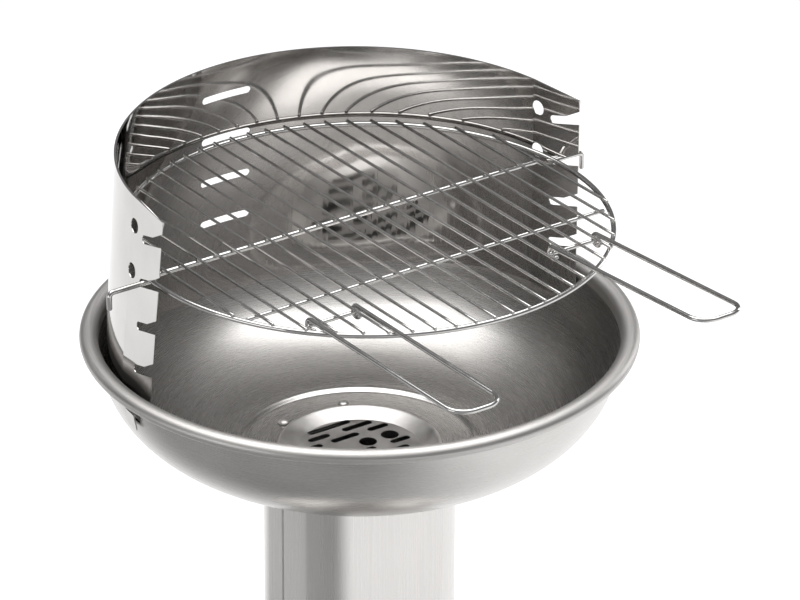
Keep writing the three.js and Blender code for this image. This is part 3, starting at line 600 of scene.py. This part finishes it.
class GRILL_OT_bowl(bpy.types.Operator):
    """Spins the bowl with its rolled rim, screw holes and hook slots"""
    bl_idname = "grill.bowl"
    bl_label = "Bowl"

    def execute(self, context):
        s = sizes("bowl")
        outline = sheet_outline(bowl_line() + bead_line(), s.sheet)
        bowl = new_piece("bowl_spun", lambda b: lathe(b, outline, 256), finish("satin"), "pedestal", "bowl")
        near, far = HOOK_SLOT_Y
        low, high = (s.rim_height - drop for drop in HOOK_SLOT_DROPS)

        def holes(built):
            for x, y in SCREW_PLACES:
                plate(built, circle(x, y, SCREW_HOLE, 24), floor_level() - THROUGH, floor_level() + THROUGH)
            for side in (-1, 1):
                start, end = sorted(side * x for x in HOOK_SLOT_X)
                plate(built, [(near, low), (far, low), (far, high), (near, high)], start, end, along_x)

        reshape(bowl, "DIFFERENCE", holes)
        bowl.data.materials.append(finish("rim"))
        for face in bowl.data.polygons:
            x, y, z = face.center
            if z > s.rim_height - s.bead_height + RIM_MARGIN and math.hypot(x, y) > s.wall_radius - RIM_MARGIN:
                face.material_index = 1
        shade(bowl, 35)
        return {"FINISHED"}


class GRILL_OT_bowl_screws(bpy.types.Operator):
    """Turns the dome-headed screws that hold the bowl"""
    bl_idname = "grill.bowl_screws"
    bl_label = "Bowl screws"

    def execute(self, context):
        seat = floor_level() + GAP
        brow = seat + SCREW_BROW
        for i, (x, y) in enumerate(SCREW_PLACES, 1):
            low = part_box(f"bowl_screw_{i}")[0][2]
            profile = [(0, low), (SCREW_SHANK - 0.0003, low), (SCREW_SHANK, low + 0.0003), (SCREW_SHANK, seat),
                       (SCREW_HEAD - 0.0002, seat), (SCREW_HEAD, seat + 0.0002)]
            profile += [(SCREW_HEAD * math.cos(t), brow + SCREW_DOME * math.sin(t))
                        for t in [QUARTER * k / 10 for k in range(10)]]
            profile.append((0, brow + SCREW_DOME))
            screw = turned_piece(f"dome_screw_{i}", profile, 40, "pressed", "pedestal", f"bowl_screw_{i}")
            screw.data.transform(Matrix.Translation((x, y, 0)))
        return {"FINISHED"}


# ---- The fire plate ----

FIRE_SHEET, FIRE_DISC = 0.0012, 0.065  # thickness, and radius of the sunken disc
FIRE_SINK = 0.0042  # the disc's depth below the bowl's floor
FIRE_BEND, FIRE_BEND_START = 0.0018, 0.0016
FIRE_BEND_TURNS = (0.15, 0.3, 0.45)
FIRE_LIP = (  # radius, and height above the bowl's floor
    (0.0785, 0.0023), (0.0796, 0.0029), (0.0808, 0.0033), (0.0816, 0.0034),
    (0.0824, 0.0032), (0.0832, 0.0025), (0.0838, 0.0014), (0.084, 0.0005),
)
SLOT_WIDTH, FINGER_RADIUS = 0.008, 0.0093
DISC_BELOW, DISC_ABOVE = 0.004, 0.006  # how far the cutters reach past the disc
SLOT_ROW_SHARES = (  # a row's y, then its slots' middles and lengths, all times the disc's radius
    (0.86, ((0, 0.8),)),
    (0.65, ((-0.33, 0.4), (0.4, 0.56))),
    (0.43, ((-0.62, 0.4), (0.02, 0.52), (0.65, 0.38))),
    (0.18, ((-0.56, 0.5),)),
    (-0.12, ((-0.62, 0.4), (-0.02, 0.5), (0.7, 0.36))),
    (-0.36, ((-0.36, 0.5), (0.4, 0.6))),
    (-0.6, ((-0.4, 0.4), (0.3, 0.56))),
    (-0.84, ((0, 0.76),)),
)
FINGER_SHARES = ((0.24, 0.11), (0.66, 0.11))


class GRILL_OT_fire_plate(bpy.types.Operator):
    """Presses the slotted fire plate with its raised lip"""
    bl_idname = "grill.fire_plate"
    bl_label = "Fire plate"

    def execute(self, context):
        low = floor_level() - FIRE_SINK - FIRE_SHEET / 2
        bend = FIRE_DISC - FIRE_BEND_START
        line = [(0, low), (bend, low)]
        line += [(bend + FIRE_BEND * math.sin(t), low + FIRE_BEND * (1 - math.cos(t))) for t in FIRE_BEND_TURNS]
        line += [(radius, floor_level() + height) for radius, height in FIRE_LIP]
        outline = turned_outline(line, FIRE_SHEET)
        piece = turned_piece("fire_plate_pressed", outline, 160, "pressed", "fire_plate", "fire_plate")

        def openings(built):
            for row, slots in SLOT_ROW_SHARES:
                for middle, length in slots:
                    slot = stadium(middle * FIRE_DISC, row * FIRE_DISC, length * FIRE_DISC, SLOT_WIDTH)
                    plate(built, slot, low - DISC_BELOW, low + DISC_ABOVE)
            for x, y in FINGER_SHARES:
                hole = circle(x * FIRE_DISC, y * FIRE_DISC, FINGER_RADIUS, 40)
                plate(built, hole, low - DISC_BELOW, low + DISC_ABOVE)

        reshape(piece, "DIFFERENCE", openings)
        shade(piece, 35)
        return {"FINISHED"}


# ---- The windshield ----

HEM_THICKNESS, HEM_HEIGHT = 0.0022, 0.004
SHIELD_FOOT = 0.075  # the sheet's upright foot, below the rim
SIDE_WALLS, REAR_WALL = ((-0.3, -0.2), (0.2, 0.3)), (0.2, 0.3)
NOTCH_LEVELS = (1, 0, -1, -2)  # pitches above the level where the grate hangs
NOTCH_BEYOND = 0.004  # how far a notch's cutter starts before the front edge
REAR_SLOTS, REAR_SLOT_TOP = 4, 0.1585
REAR_SLOT_LENGTH, REAR_SLOT_WIDTH = 0.059, 0.008
SPIT_HOLE_Y, SPIT_HOLE_RADIUS, SPIT_HOLE_HEIGHTS = 0.031, 0.008, (0.1647, 0.1152)
BEAD_CLEARANCE = 0.004  # above the bead's lower edge
OUTSIDE = 0.29  # a radius past the bowl's wall


def notch_end(lean):
    """The middle of a notch's round end before the sheet leans, so that the wire rests in it afterwards."""
    s, g = sizes("shield"), sizes("grate")
    tilt = math.atan(s.notch_slope)
    play = (s.notch_height / 2 - g.ring_wire / 2 - GAP) * math.sqrt(0.5)
    y, z = g.wire_y, wire_level()
    for _ in range(8):
        _, leaned_y, leaned_z = lean((0, y, z))
        y += g.wire_y - leaned_y
        z += wire_level() - leaned_z
    return y - play * (math.cos(tilt) - math.sin(tilt)), z + play * (math.cos(tilt) + math.sin(tilt))


def notch_outline(end_y, middle):
    """A notch from past the front edge to its round end, seen from the side."""
    s = sizes("shield")
    tilt = math.atan(s.notch_slope)
    radius = s.notch_height / 2
    reach = radius / math.cos(tilt)

    def level(y):
        return middle + (end_y - y) * s.notch_slope

    beyond = s.front_y - NOTCH_BEYOND
    narrow = end_y - s.notch_run
    mouth = level(s.front_y) - reach + s.notch_mouth
    return ([(beyond, level(beyond) - reach)] + arc(end_y, middle, radius, -QUARTER - tilt, QUARTER - tilt, 12)
            + [(narrow, level(narrow) + reach), (s.front_y, mouth), (beyond, mouth)])


class GRILL_OT_windshield(bpy.types.Operator):
    """Rolls the windshield with its notches, slots and spit holes, and dresses its hooks"""
    bl_idname = "grill.windshield"
    bl_label = "Windshield"

    def execute(self, context):
        s = sizes("shield")
        bowl = sizes("bowl")
        top = bowl.rim_height + s.top

        def lean(place):
            x, y, z = place
            depth = (top - z) / s.radius
            return (x * (1 + depth * s.spread),
                    y + depth * (s.radius * s.settle - (y - s.centre_y) * s.squeeze),
                    z + (y - s.rise_y) * s.rise)

        start = math.asin((s.bend_y - s.centre_y) / s.radius)
        plan = arc(0, s.centre_y, s.radius, start, math.pi - start, 240)
        plan = [(s.front_x, s.front_y)] + plan + [(-s.front_x, s.front_y)]
        body = sheet_outline(plan, s.sheet)
        hem = sheet_outline(plan, HEM_THICKNESS)
        sheet = new_piece("windshield_sheet", lambda b: plate(b, body, bowl.rim_height - SHIELD_FOOT, top),
                          finish("bright"), "pedestal", "windshield")
        reshape(sheet, "UNION", lambda b: plate(b, hem, top - HEM_HEIGHT, top))
        end_y, end_z = notch_end(lean)

        def openings(built):
            for level in NOTCH_LEVELS:
                notch = notch_outline(end_y, end_z + level * s.level_pitch)
                for low, high in SIDE_WALLS:
                    plate(built, notch, low, high, along_x)
            for i in range(REAR_SLOTS):
                height = bowl.rim_height + REAR_SLOT_TOP - i * s.level_pitch
                plate(built, stadium(0, height, REAR_SLOT_LENGTH, REAR_SLOT_WIDTH, 10), *REAR_WALL, along_y)
            for height in SPIT_HOLE_HEIGHTS:
                hole = circle(SPIT_HOLE_Y, bowl.rim_height + height, SPIT_HOLE_RADIUS, 36)
                for low, high in SIDE_WALLS:
                    plate(built, hole, low, high, along_x)

        reshape(sheet, "DIFFERENCE", openings)
        flat = bmesh.new()
        flat.from_mesh(sheet.data)
        bmesh.ops.triangulate(flat, faces=flat.faces)
        for vertex in flat.verts:
            vertex.co = lean(vertex.co)
        flat.to_mesh(sheet.data)
        flat.free()
        half = bowl.sheet / 2 + GAP
        inside = [(r - half, z) for r, z in bowl_line(30)[WALL_START:]]
        bead = bowl.rim_height - bowl.bead_height + BEAD_CLEARANCE
        wall = inside + [(inside[-1][0], bead), (OUTSIDE, bead), (OUTSIDE, inside[0][1])]
        reshape(sheet, "DIFFERENCE", lambda b: lathe(b, wall, 240))
        shade(sheet, 12)
        for side in ("left", "right"):
            dress(f"windshield_hook_{side}", "column", 0.0003)
        return {"FINISHED"}


# ---- The grate and its handles ----

BAR_SINK = 0.0005  # how far a bar's weld presses it into the ring
BAR_OVERHANG = 0.002  # past the middle of the ring
WELD_DROP, WELD_SIZE = 0.0011, (0.0021, 0.0019, 0.0011)
CRANK_INNER, CRANK_OUTER, CRANK_END = 0.232, 0.240, 0.2902
CRANK_DROP, CRANK_BEND = 0.019, 0.0045  # the ends turned down, and the radius of the bends
CROSS_WIRE, CROSS_Y = 0.0044, -0.1205
HANDLES = (  # side, the anchor wire's x and y, and how far the handle is turned
    ("left", -0.14667, -0.167, 0.0),
    ("right", 0.14313, -0.171, 3.4),
)
ANCHOR_OVERHANG = 0.002  # past the handle's legs
CURL_START = -math.radians(170)  # where a leg's loop round the anchor wire begins
HANDLE_BEND = 0.02


def ring_level():
    return sizes("bowl").rim_height + sizes("grate").height


def bar_level():
    g = sizes("grate")
    return ring_level() + g.ring_wire / 2 + g.bar_wire / 2 - BAR_SINK


def under_bars():
    return bar_level() - sizes("grate").bar_wire / 2 - GAP


def wire_level():
    """Height of the support wire's outer ends, which rest in the notches."""
    return ring_level() - sizes("grate").ring_wire - GAP


def straight(start, end, steps):
    """Points along a straight wire."""
    return [Vector(start).lerp(Vector(end), k / steps) for k in range(steps + 1)]


def wire_piece(name, line, diameter, sides, body, node):
    wire = new_piece(name, lambda b: tube(b, line, diameter, sides), finish("chrome"), body, node)
    return wire


def weld_bead(built, place):
    """A small flattened lump where two wires are welded."""
    made = bmesh.ops.create_icosphere(built, subdivisions=2, radius=1.0)
    bmesh.ops.scale(built, vec=WELD_SIZE, verts=made["verts"])
    bmesh.ops.translate(built, vec=place, verts=made["verts"])


class GRILL_OT_grate(bpy.types.Operator):
    """Welds the grate: ring, bars, support wire and cross wire"""
    bl_idname = "grill.grate"
    bl_label = "Grate"

    def execute(self, context):
        g = sizes("grate")
        middle = g.ring_radius - g.ring_wire / 2
        high = bar_level()

        def ring_and_bars(built):
            ring = [(x, y, ring_level()) for x, y in circle(0, g.centre_y, middle, 220)]
            tube(built, ring, g.ring_wire, 18, cyclic=True)
            for i in range(g.bar_count):
                x = (i - (g.bar_count - 1) / 2) * g.bar_pitch
                half = math.sqrt(middle ** 2 - x * x)
                reach = half + BAR_OVERHANG
                bar = straight((x, g.centre_y - reach, high), (x, g.centre_y + reach, high), 24)
                tube(built, bar, g.bar_wire)
                for sign in (-1, 1):
                    weld_bead(built, (x, g.centre_y + sign * half, high - WELD_DROP))

        grate = new_piece("grate_welded", ring_and_bars, finish("chrome"), "grate", "grate_ring_and_bars")

        inner, outer = under_bars() - g.ring_wire / 2, wire_level()
        half = [(CRANK_INNER, g.wire_y, inner), (CRANK_OUTER, g.wire_y, outer), (CRANK_END, g.wire_y, outer),
                (CRANK_END, g.wire_y, outer - CRANK_DROP)]
        corners = [(-x, y, z) for x, y, z in half[::-1]] + half
        support = bent(corners, CRANK_BEND)
        wire_piece("grate_support_bent", support, g.ring_wire, 18, "grate", "grate_support_wire")

        low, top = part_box("grate_cross_wire")
        z = under_bars() - CROSS_WIRE / 2
        cross = straight((low[0], CROSS_Y, z), (top[0], CROSS_Y, z), 20)
        wire_piece("grate_cross_drawn", cross, CROSS_WIRE, 14, "grate", "grate_cross_wire")
        return {"FINISHED"}


class GRILL_OT_handles(bpy.types.Operator):
    """Bends the two folding handles and the wires that carry them"""
    bl_idname = "grill.handles"
    bl_label = "Handles"

    def execute(self, context):
        g = sizes("grate")
        level = under_bars() - g.anchor_wire / 2
        half = g.leg_spacing / 2
        reach = half + g.handle_wire / 2 + ANCHOR_OVERHANG
        lift = ring_level() + g.ring_wire / 2 + GAP + g.handle_wire / 2 - level
        curl = arc(0, 0, lift, CURL_START, QUARTER, 26)
        for side, x, y, degrees in HANDLES:
            anchor = straight((x - reach, y, level), (x + reach, y, level), 8)
            wire_piece(f"anchor_{side}", anchor, g.anchor_wire, 14, "grate", f"handle_anchor_{side}")
            tip = g.handle_tip_y - y
            corners = [(-half, 0, lift), (-half, tip, lift), (half, tip, lift), (half, 0, lift)]
            loop = bent(corners, HANDLE_BEND, 14)
            points = [(-half, a, b) for a, b in curl] + loop[1:-1] + [(half, a, b) for a, b in curl[::-1]]
            handle = wire_piece(f"handle_loop_{side}", points, g.handle_wire, 18, f"{side}_handle",
                                f"handle_{side}")
            turn = Matrix.Rotation(-math.radians(degrees), 4, "X")
            handle.data.transform(Matrix.Translation((x, y, level)) @ turn)
        return {"FINISHED"}


# ---- The column and the base ----

SEAM_GAP = 0.0002  # from the seam to each shell
SEAM_LIP = ((0.008, 0), (0.0012, 0), (0.0004, 0.0004), (0, 0.0012))  # in from the face, and off the seam
SHELL_SCREW_YS, SHELL_SCREW_END = (-0.016, 0.024), 0.017  # the heights are this far from the column's ends
SHELL_SCREW_HOLE, SHELL_SCREW_WALL = 0.0024, (0.08, 0.1)
PAN_SHANK, PAN_HEAD, PAN_LENGTH = 0.0021, 0.0042, 0.007
PAN_BROW, PAN_DOME = 0.0006, 0.0018
VENTS, VENT_LOW, VENT_PITCH = 5, 0.07, 0.017
VENT_LENGTH, VENT_HEIGHT, VENT_WALL = 0.07, 0.007, (0.04, 0.1)


def shell_line(side):
    """Middle line of one of the column's shells, seen from above."""
    s = sizes("column")
    inset = s.wall / 2
    half = s.width / 2 - inset
    edge = s.seam_y + side * (SEAM_GAP + inset)
    x = s.width / 2 - s.corner
    y = side * (s.depth / 2 - s.corner)
    turn = side * QUARTER
    lip = [(half - inwards, edge + side * off) for inwards, off in SEAM_LIP]
    corners = arc(x, y, s.corner - inset, 0, turn, 24) + arc(-x, y, s.corner - inset, turn, 2 * turn, 24)
    return lip + corners + [(-across, along) for across, along in lip[::-1]]


class GRILL_OT_column(bpy.types.Operator):
    """Folds the column's two shells and turns its screws"""
    bl_idname = "grill.column"
    bl_label = "Column"

    def execute(self, context):
        s = sizes("column")
        low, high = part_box("column_front_shell")
        heights = (low[2] + SHELL_SCREW_END, high[2] - SHELL_SCREW_END)
        screws = [(side, y, z) for side in (-1, 1) for y in SHELL_SCREW_YS for z in heights]
        for word, side in (("front", -1), ("rear", 1)):
            low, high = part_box(f"column_{word}_shell")
            outline = sheet_outline(shell_line(side), s.wall)
            shell = new_piece(f"column_{word}_folded", lambda b: plate(b, outline, low[2], high[2]),
                              finish("column"), "pedestal", f"column_{word}_shell")

            def openings(built):
                for face, y, z in screws:
                    start, end = sorted(face * x for x in SHELL_SCREW_WALL)
                    plate(built, circle(y, z, SHELL_SCREW_HOLE, 20), start, end, along_x)
                for i in range(VENTS if word == "rear" else 0):
                    vent = stadium(0, low[2] + VENT_LOW + VENT_PITCH * i, VENT_LENGTH, VENT_HEIGHT, 10)
                    plate(built, vent, *VENT_WALL, along_y)

            reshape(shell, "DIFFERENCE", openings)
            shade(shell, 20)
        seat = s.width / 2 + GAP
        brow = seat + PAN_BROW
        profile = [(0, seat - PAN_LENGTH), (PAN_SHANK, seat - PAN_LENGTH), (PAN_SHANK, seat),
                   (PAN_HEAD - 0.0002, seat), (PAN_HEAD, seat + 0.0003)]
        profile += [(PAN_HEAD * math.cos(t), brow + PAN_DOME * math.sin(t))
                    for t in [0.16 * k for k in range(10)]]
        profile.append((0, brow + PAN_DOME))
        for i, (side, y, z) in enumerate(screws, 1):
            screw = turned_piece(f"pan_screw_{i}", profile, 32, "pressed", "pedestal", f"column_screw_{i}")
            screw.data.transform(Matrix.Translation((0, y, z)) @ Matrix.Rotation(side * QUARTER, 4, "Y"))
        return {"FINISHED"}


COVER_SHEET, COVER_TOP, COVER_FOOT = 0.0015, 0.1098, 0.222  # thickness, and two radii
SHOULDER_RADIUS, SHOULDER = 0.21, 0.012  # where the cover turns down, and the bend's own radius
COVER_SLOPE = 0.25  # the straight share of the cover's slope
BOLT_PLACES = [(x, y) for x in (-0.072, 0.072) for y in (-0.048, 0.048)]
BOLT_HOLE, BOLT_HOLE_REACH = 0.0043, (0.02, 0.04)


class GRILL_OT_base(bpy.types.Operator):
    """Presses the base's cover and dresses the weight, the pad and the brackets"""
    bl_idname = "grill.base"
    bl_label = "Base"

    def execute(self, context):
        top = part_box("base_cover")[1][2] - COVER_SHEET / 2
        foot = SHOULDER + COVER_SHEET
        line = [(0, top)]
        for i in range(25):
            t = i / 24
            fall = COVER_SLOPE * t + (1 - COVER_SLOPE) * ease(t)
            line.append((COVER_TOP + (SHOULDER_RADIUS - COVER_TOP) * t, top + (foot - top) * fall))
        line += arc(SHOULDER_RADIUS, COVER_SHEET, SHOULDER, QUARTER, 0, 14)[1:]
        line.append((COVER_FOOT, COVER_SHEET))
        outline = turned_outline(line, COVER_SHEET)
        cover = turned_piece("base_cover_pressed", outline, 200, "satin", "pedestal", "base_cover")

        def holes(built):
            for x, y in BOLT_PLACES:
                plate(built, circle(x, y, BOLT_HOLE, 24), *BOLT_HOLE_REACH)

        reshape(cover, "DIFFERENCE", holes)
        shade(cover, 30)
        dress("base_weight", "iron", 0.0008)
        dress("floor_pad", "rubber", 0.0005)
        for node in ("column_foot_bracket", "column_top_bracket"):
            dress(node, "zinc")
        for i in range(1, 5):
            dress(f"foot_bolt_{i}", "zinc", 0.0004)
            dress(f"bowl_nut_{i}", "zinc", 0.0003)
        return {"FINISHED"}


CUP_SHEET, CUP_RADIUS, CUP_HEIGHT = 0.001, 0.057, 0.105
CUP_BEND, CUP_BEAD = 0.003, 0.002  # radii of the foot's bend and of the rolled edge
CUP_BEND_TURNS = (0.4, 0.8, 1.2, QUARTER)


class GRILL_OT_ash_cup(bpy.types.Operator):
    """Turns the ash cup with its rolled edge and dresses its strap"""
    bl_idname = "grill.ash_cup"
    bl_label = "Ash cup"

    def execute(self, context):
        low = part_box("ash_cup")[0][2]
        bottom = low + CUP_SHEET / 2
        bend = CUP_RADIUS - CUP_SHEET / 2 - CUP_BEND
        line = [(0, bottom), (bend, bottom)]
        line += [(bend + CUP_BEND * math.sin(t), bottom + CUP_BEND * (1 - math.cos(t))) for t in CUP_BEND_TURNS]
        curl = CUP_RADIUS + CUP_BEAD - CUP_SHEET / 2
        line += arc(curl, low + CUP_HEIGHT, CUP_BEAD, math.pi, -math.pi / 3, 16)
        outline = turned_outline(line, CUP_SHEET)
        cup = turned_piece("ash_cup_spun", outline, 120, "zinc", "ash_cup", "ash_cup")
        dress("ash_cup_strap", "zinc", 0.0003)
        return {"FINISHED"}


# ---- The stage ----

CAMERA_AZIMUTH, CAMERA_ELEVATION = math.radians(-34.816), math.radians(26.43)
CAMERA_DISTANCE, CAMERA_REACH = 6.0, 60
CAMERA_LENS, SENSOR_WIDTH = 265.67, 36  # millimetres
CAMERA_SHIFT = (0.0505, 0.0301)
SOFT_COLOUR, SOFT_STRENGTH = (0.95, 0.97, 1, 1), 0.1
ROOM_LOWEST = (0.05, 0.048, 0.046, 1)
ROOM_MARKS = ((0.45, 0.1), (0.55, 0.14), (0.7, 0.2), (0.82, 0.3), (0.9, 0.8))  # from straight down, 0, to up, 1
FLOOR_SIZE, FLOOR_COLOUR, FLOOR_ROUGHNESS = 14, (0.62, 0.62, 0.62, 1), 0.9
SEEN_GLOW = 0.74  # what lifts the floor to white for the camera
SHADE_PLACE, SHADE_SCALE = (1.0, 1.0, 0), (0.667, 0.769, 1)  # an oval of floor that stays dull in reflections
SHADE_EDGE, FAR_GLOW = (1.05, 1.75), 0.8
LAMPS = (  # name, place, what it faces, width and height, watts
    ("top_softbox", (0.25, 0.4, 3.0), (0.15, 0.15, 0.7), (3.2, 2.3), 60),
    ("left_softbox", (-2.4, -0.2, 0.9), (0, 0, 0.75), (1.4, 1.0), 7),
    ("right_softbox", (2.5, 0.1, 1.2), (0.2, 0, 0.5), (0.7, 1.2), 8),
)


def larger(tree, one, other):
    return add_node(tree, "ShaderNodeMath", {0: one, 1: other}, operation="MAXIMUM").outputs[0]


def background_rays(tree):
    """1 for the rays by which the camera, shiny metal and glass see the background, else 0."""
    path = add_node(tree, "ShaderNodeLightPath").outputs
    first = larger(tree, path["Is Camera Ray"], path["Is Glossy Ray"])
    return larger(tree, first, path["Is Transmission Ray"])


def choose_shader(tree, choice, usual, instead):
    sources = {"Fac": choice, 1: usual.outputs[0], 2: instead.outputs[0]}
    return add_node(tree, "ShaderNodeMixShader", sources).outputs[0]


def make_room(scene):
    """A faint soft light from all round, and a room for the background's rays, dark below and white above."""
    world = bpy.data.worlds.new("studio")
    scene.world = world
    world.use_nodes = True
    tree = world.node_tree
    soft = tree.nodes["Background"]
    soft.inputs["Color"].default_value = SOFT_COLOUR
    soft.inputs["Strength"].default_value = SOFT_STRENGTH
    place = add_node(tree, "ShaderNodeTexCoord")
    parts = add_node(tree, "ShaderNodeSeparateXYZ", {0: place.outputs["Generated"]})
    up = add_node(tree, "ShaderNodeMath", {0: parts.outputs["Z"]}, {1: 0.5, 2: 0.5}, operation="MULTIPLY_ADD")
    ramp = add_node(tree, "ShaderNodeValToRGB", {"Fac": up.outputs[0]})
    marks = ramp.color_ramp.elements
    marks[0].color = ROOM_LOWEST
    marks[1].color = (1, 1, 1, 1)
    for position, value in ROOM_MARKS:
        marks.new(position).color = (value, value, value, 1)
    pale = add_node(tree, "ShaderNodeBackground", {"Color": ramp.outputs["Color"]}, {"Strength": 1.0})
    mix = choose_shader(tree, background_rays(tree), soft, pale)
    tree.links.new(mix, tree.nodes["World Output"].inputs["Surface"])


def pale_paper():
    """Pale matt paper that the camera sees as white, and reflections see as white only far from the grill."""
    paper = bpy.data.materials.new("pale_floor")
    paper.use_nodes = True
    tree = paper.node_tree
    matt = tree.nodes["Principled BSDF"]
    matt.inputs["Base Color"].default_value = FLOOR_COLOUR
    matt.inputs["Roughness"].default_value = FLOOR_ROUGHNESS
    place = add_node(tree, "ShaderNodeTexCoord")
    oval = add_node(tree, "ShaderNodeMapping", {"Vector": place.outputs["Object"]},
                    {"Location": SHADE_PLACE, "Scale": SHADE_SCALE})
    away = add_node(tree, "ShaderNodeVectorMath", {0: oval.outputs["Vector"]}, operation="LENGTH")
    far = add_node(tree, "ShaderNodeMapRange", {"Value": away.outputs["Value"]},
                   {"From Min": SHADE_EDGE[0], "From Max": SHADE_EDGE[1], "To Min": 0.0, "To Max": FAR_GLOW},
                   interpolation_type="SMOOTHSTEP")
    camera_ray = add_node(tree, "ShaderNodeLightPath").outputs["Is Camera Ray"]
    seen = add_node(tree, "ShaderNodeMath", {0: camera_ray}, {1: SEEN_GLOW}, operation="MULTIPLY")
    glow = add_node(tree, "ShaderNodeEmission", {"Strength": larger(tree, seen.outputs[0], far.outputs["Result"])})
    dark = add_node(tree, "ShaderNodeEmission", values={"Strength": 0.0})
    shine = choose_shader(tree, background_rays(tree), dark, glow)
    both = add_node(tree, "ShaderNodeAddShader", {0: matt.outputs[0], 1: shine})
    tree.links.new(both.outputs[0], tree.nodes["Material Output"].inputs["Surface"])
    return paper


def make_floor(scene):
    mesh = bpy.data.meshes.new("studio_floor")
    built = bmesh.new()
    bmesh.ops.create_grid(built, x_segments=8, y_segments=8, size=FLOOR_SIZE)
    built.to_mesh(mesh)
    built.free()
    floor = bpy.data.objects.new("studio_floor", mesh)
    floor.rotation_euler.z = CAMERA_AZIMUTH
    scene.collection.objects.link(floor)
    mesh.materials.append(pale_paper())


def make_lamp(scene, name, place, aim, size, watts):
    lamp = bpy.data.lights.new(name, "AREA")
    lamp.shape = "RECTANGLE"
    lamp.size, lamp.size_y = size
    lamp.energy = watts
    holder = bpy.data.objects.new(name, lamp)
    scene.collection.objects.link(holder)
    holder.location = place
    holder.rotation_euler = (Vector(aim) - Vector(place)).to_track_quat("-Z", "Y").to_euler()


def make_camera(scene):
    """The camera of the photo's angle, turned towards the middle of the rim."""
    back = Vector((math.sin(CAMERA_AZIMUTH) * math.cos(CAMERA_ELEVATION),
                   -math.cos(CAMERA_AZIMUTH) * math.cos(CAMERA_ELEVATION), math.sin(CAMERA_ELEVATION)))
    camera = bpy.data.cameras.new("photo_camera")
    camera.lens = CAMERA_LENS
    camera.sensor_width = SENSOR_WIDTH
    camera.shift_x, camera.shift_y = CAMERA_SHIFT
    camera.clip_end = CAMERA_REACH
    holder = bpy.data.objects.new("photo_camera", camera)
    scene.collection.objects.link(holder)
    holder.location = Vector((0, 0, sizes("bowl").rim_height)) + back * CAMERA_DISTANCE
    holder.rotation_euler = (-back).to_track_quat("-Z", "Y").to_euler()
    scene.camera = holder


class GRILL_OT_stage(bpy.types.Operator):
    """Sets the floor, the soft lamps, the pale surroundings and the camera"""
    bl_idname = "grill.stage"
    bl_label = "Stage"

    def execute(self, context):
        scene = context.scene
        scene.view_settings.view_transform = "Standard"
        make_room(scene)
        make_floor(scene)
        for lamp in LAMPS:
            make_lamp(scene, *lamp)
        make_camera(scene)
        return {"FINISHED"}


# ---- The panel ----

GROUPS = {
    "bowl": GrillBowlSizes, "shield": GrillShieldSizes, "grate": GrillGrateSizes, "column": GrillColumnSizes,
    "colours": GrillColours,
}
OPERATORS = (
    GRILL_OT_bowl, GRILL_OT_bowl_screws, GRILL_OT_fire_plate, GRILL_OT_windshield, GRILL_OT_grate,
    GRILL_OT_handles, GRILL_OT_column, GRILL_OT_base, GRILL_OT_ash_cup, GRILL_OT_stage,
)


class GRILL_PT_pieces(bpy.types.Panel):
    """Lists the sizes, the colours and the pieces"""
    bl_idname = "GRILL_PT_pieces"
    bl_label = "Charcoal grill"
    bl_space_type = "VIEW_3D"
    bl_region_type = "UI"
    bl_category = "Grill"

    def draw(self, context):
        layout = self.layout
        for name in GROUPS:
            box = layout.box()
            box.label(text=name.capitalize())
            group = sizes(name)
            for key in group.__annotations__:
                box.prop(group, key)
        for kind in OPERATORS:
            layout.operator(kind.bl_idname)


def register():
    for name, group in GROUPS.items():
        bpy.utils.register_class(group)
        setattr(bpy.types.Scene, "grill_" + name, PointerProperty(type=group))
    for kind in OPERATORS + (GRILL_PT_pieces,):
        bpy.utils.register_class(kind)


def unregister():
    for kind in (GRILL_PT_pieces,) + OPERATORS[::-1]:
        bpy.utils.unregister_class(kind)
    for name, group in GROUPS.items():
        delattr(bpy.types.Scene, "grill_" + name)
        bpy.utils.unregister_class(group)


def main():
    register()
    bpy.ops.grill.bowl()
    bpy.ops.grill.bowl_screws()
    bpy.ops.grill.fire_plate()
    bpy.ops.grill.windshield()
    bpy.ops.grill.grate()
    bpy.ops.grill.handles()
    bpy.ops.grill.column()
    bpy.ops.grill.base()
    bpy.ops.grill.ash_cup()
    bpy.ops.grill.stage()


if __name__ == "__main__":
    main()
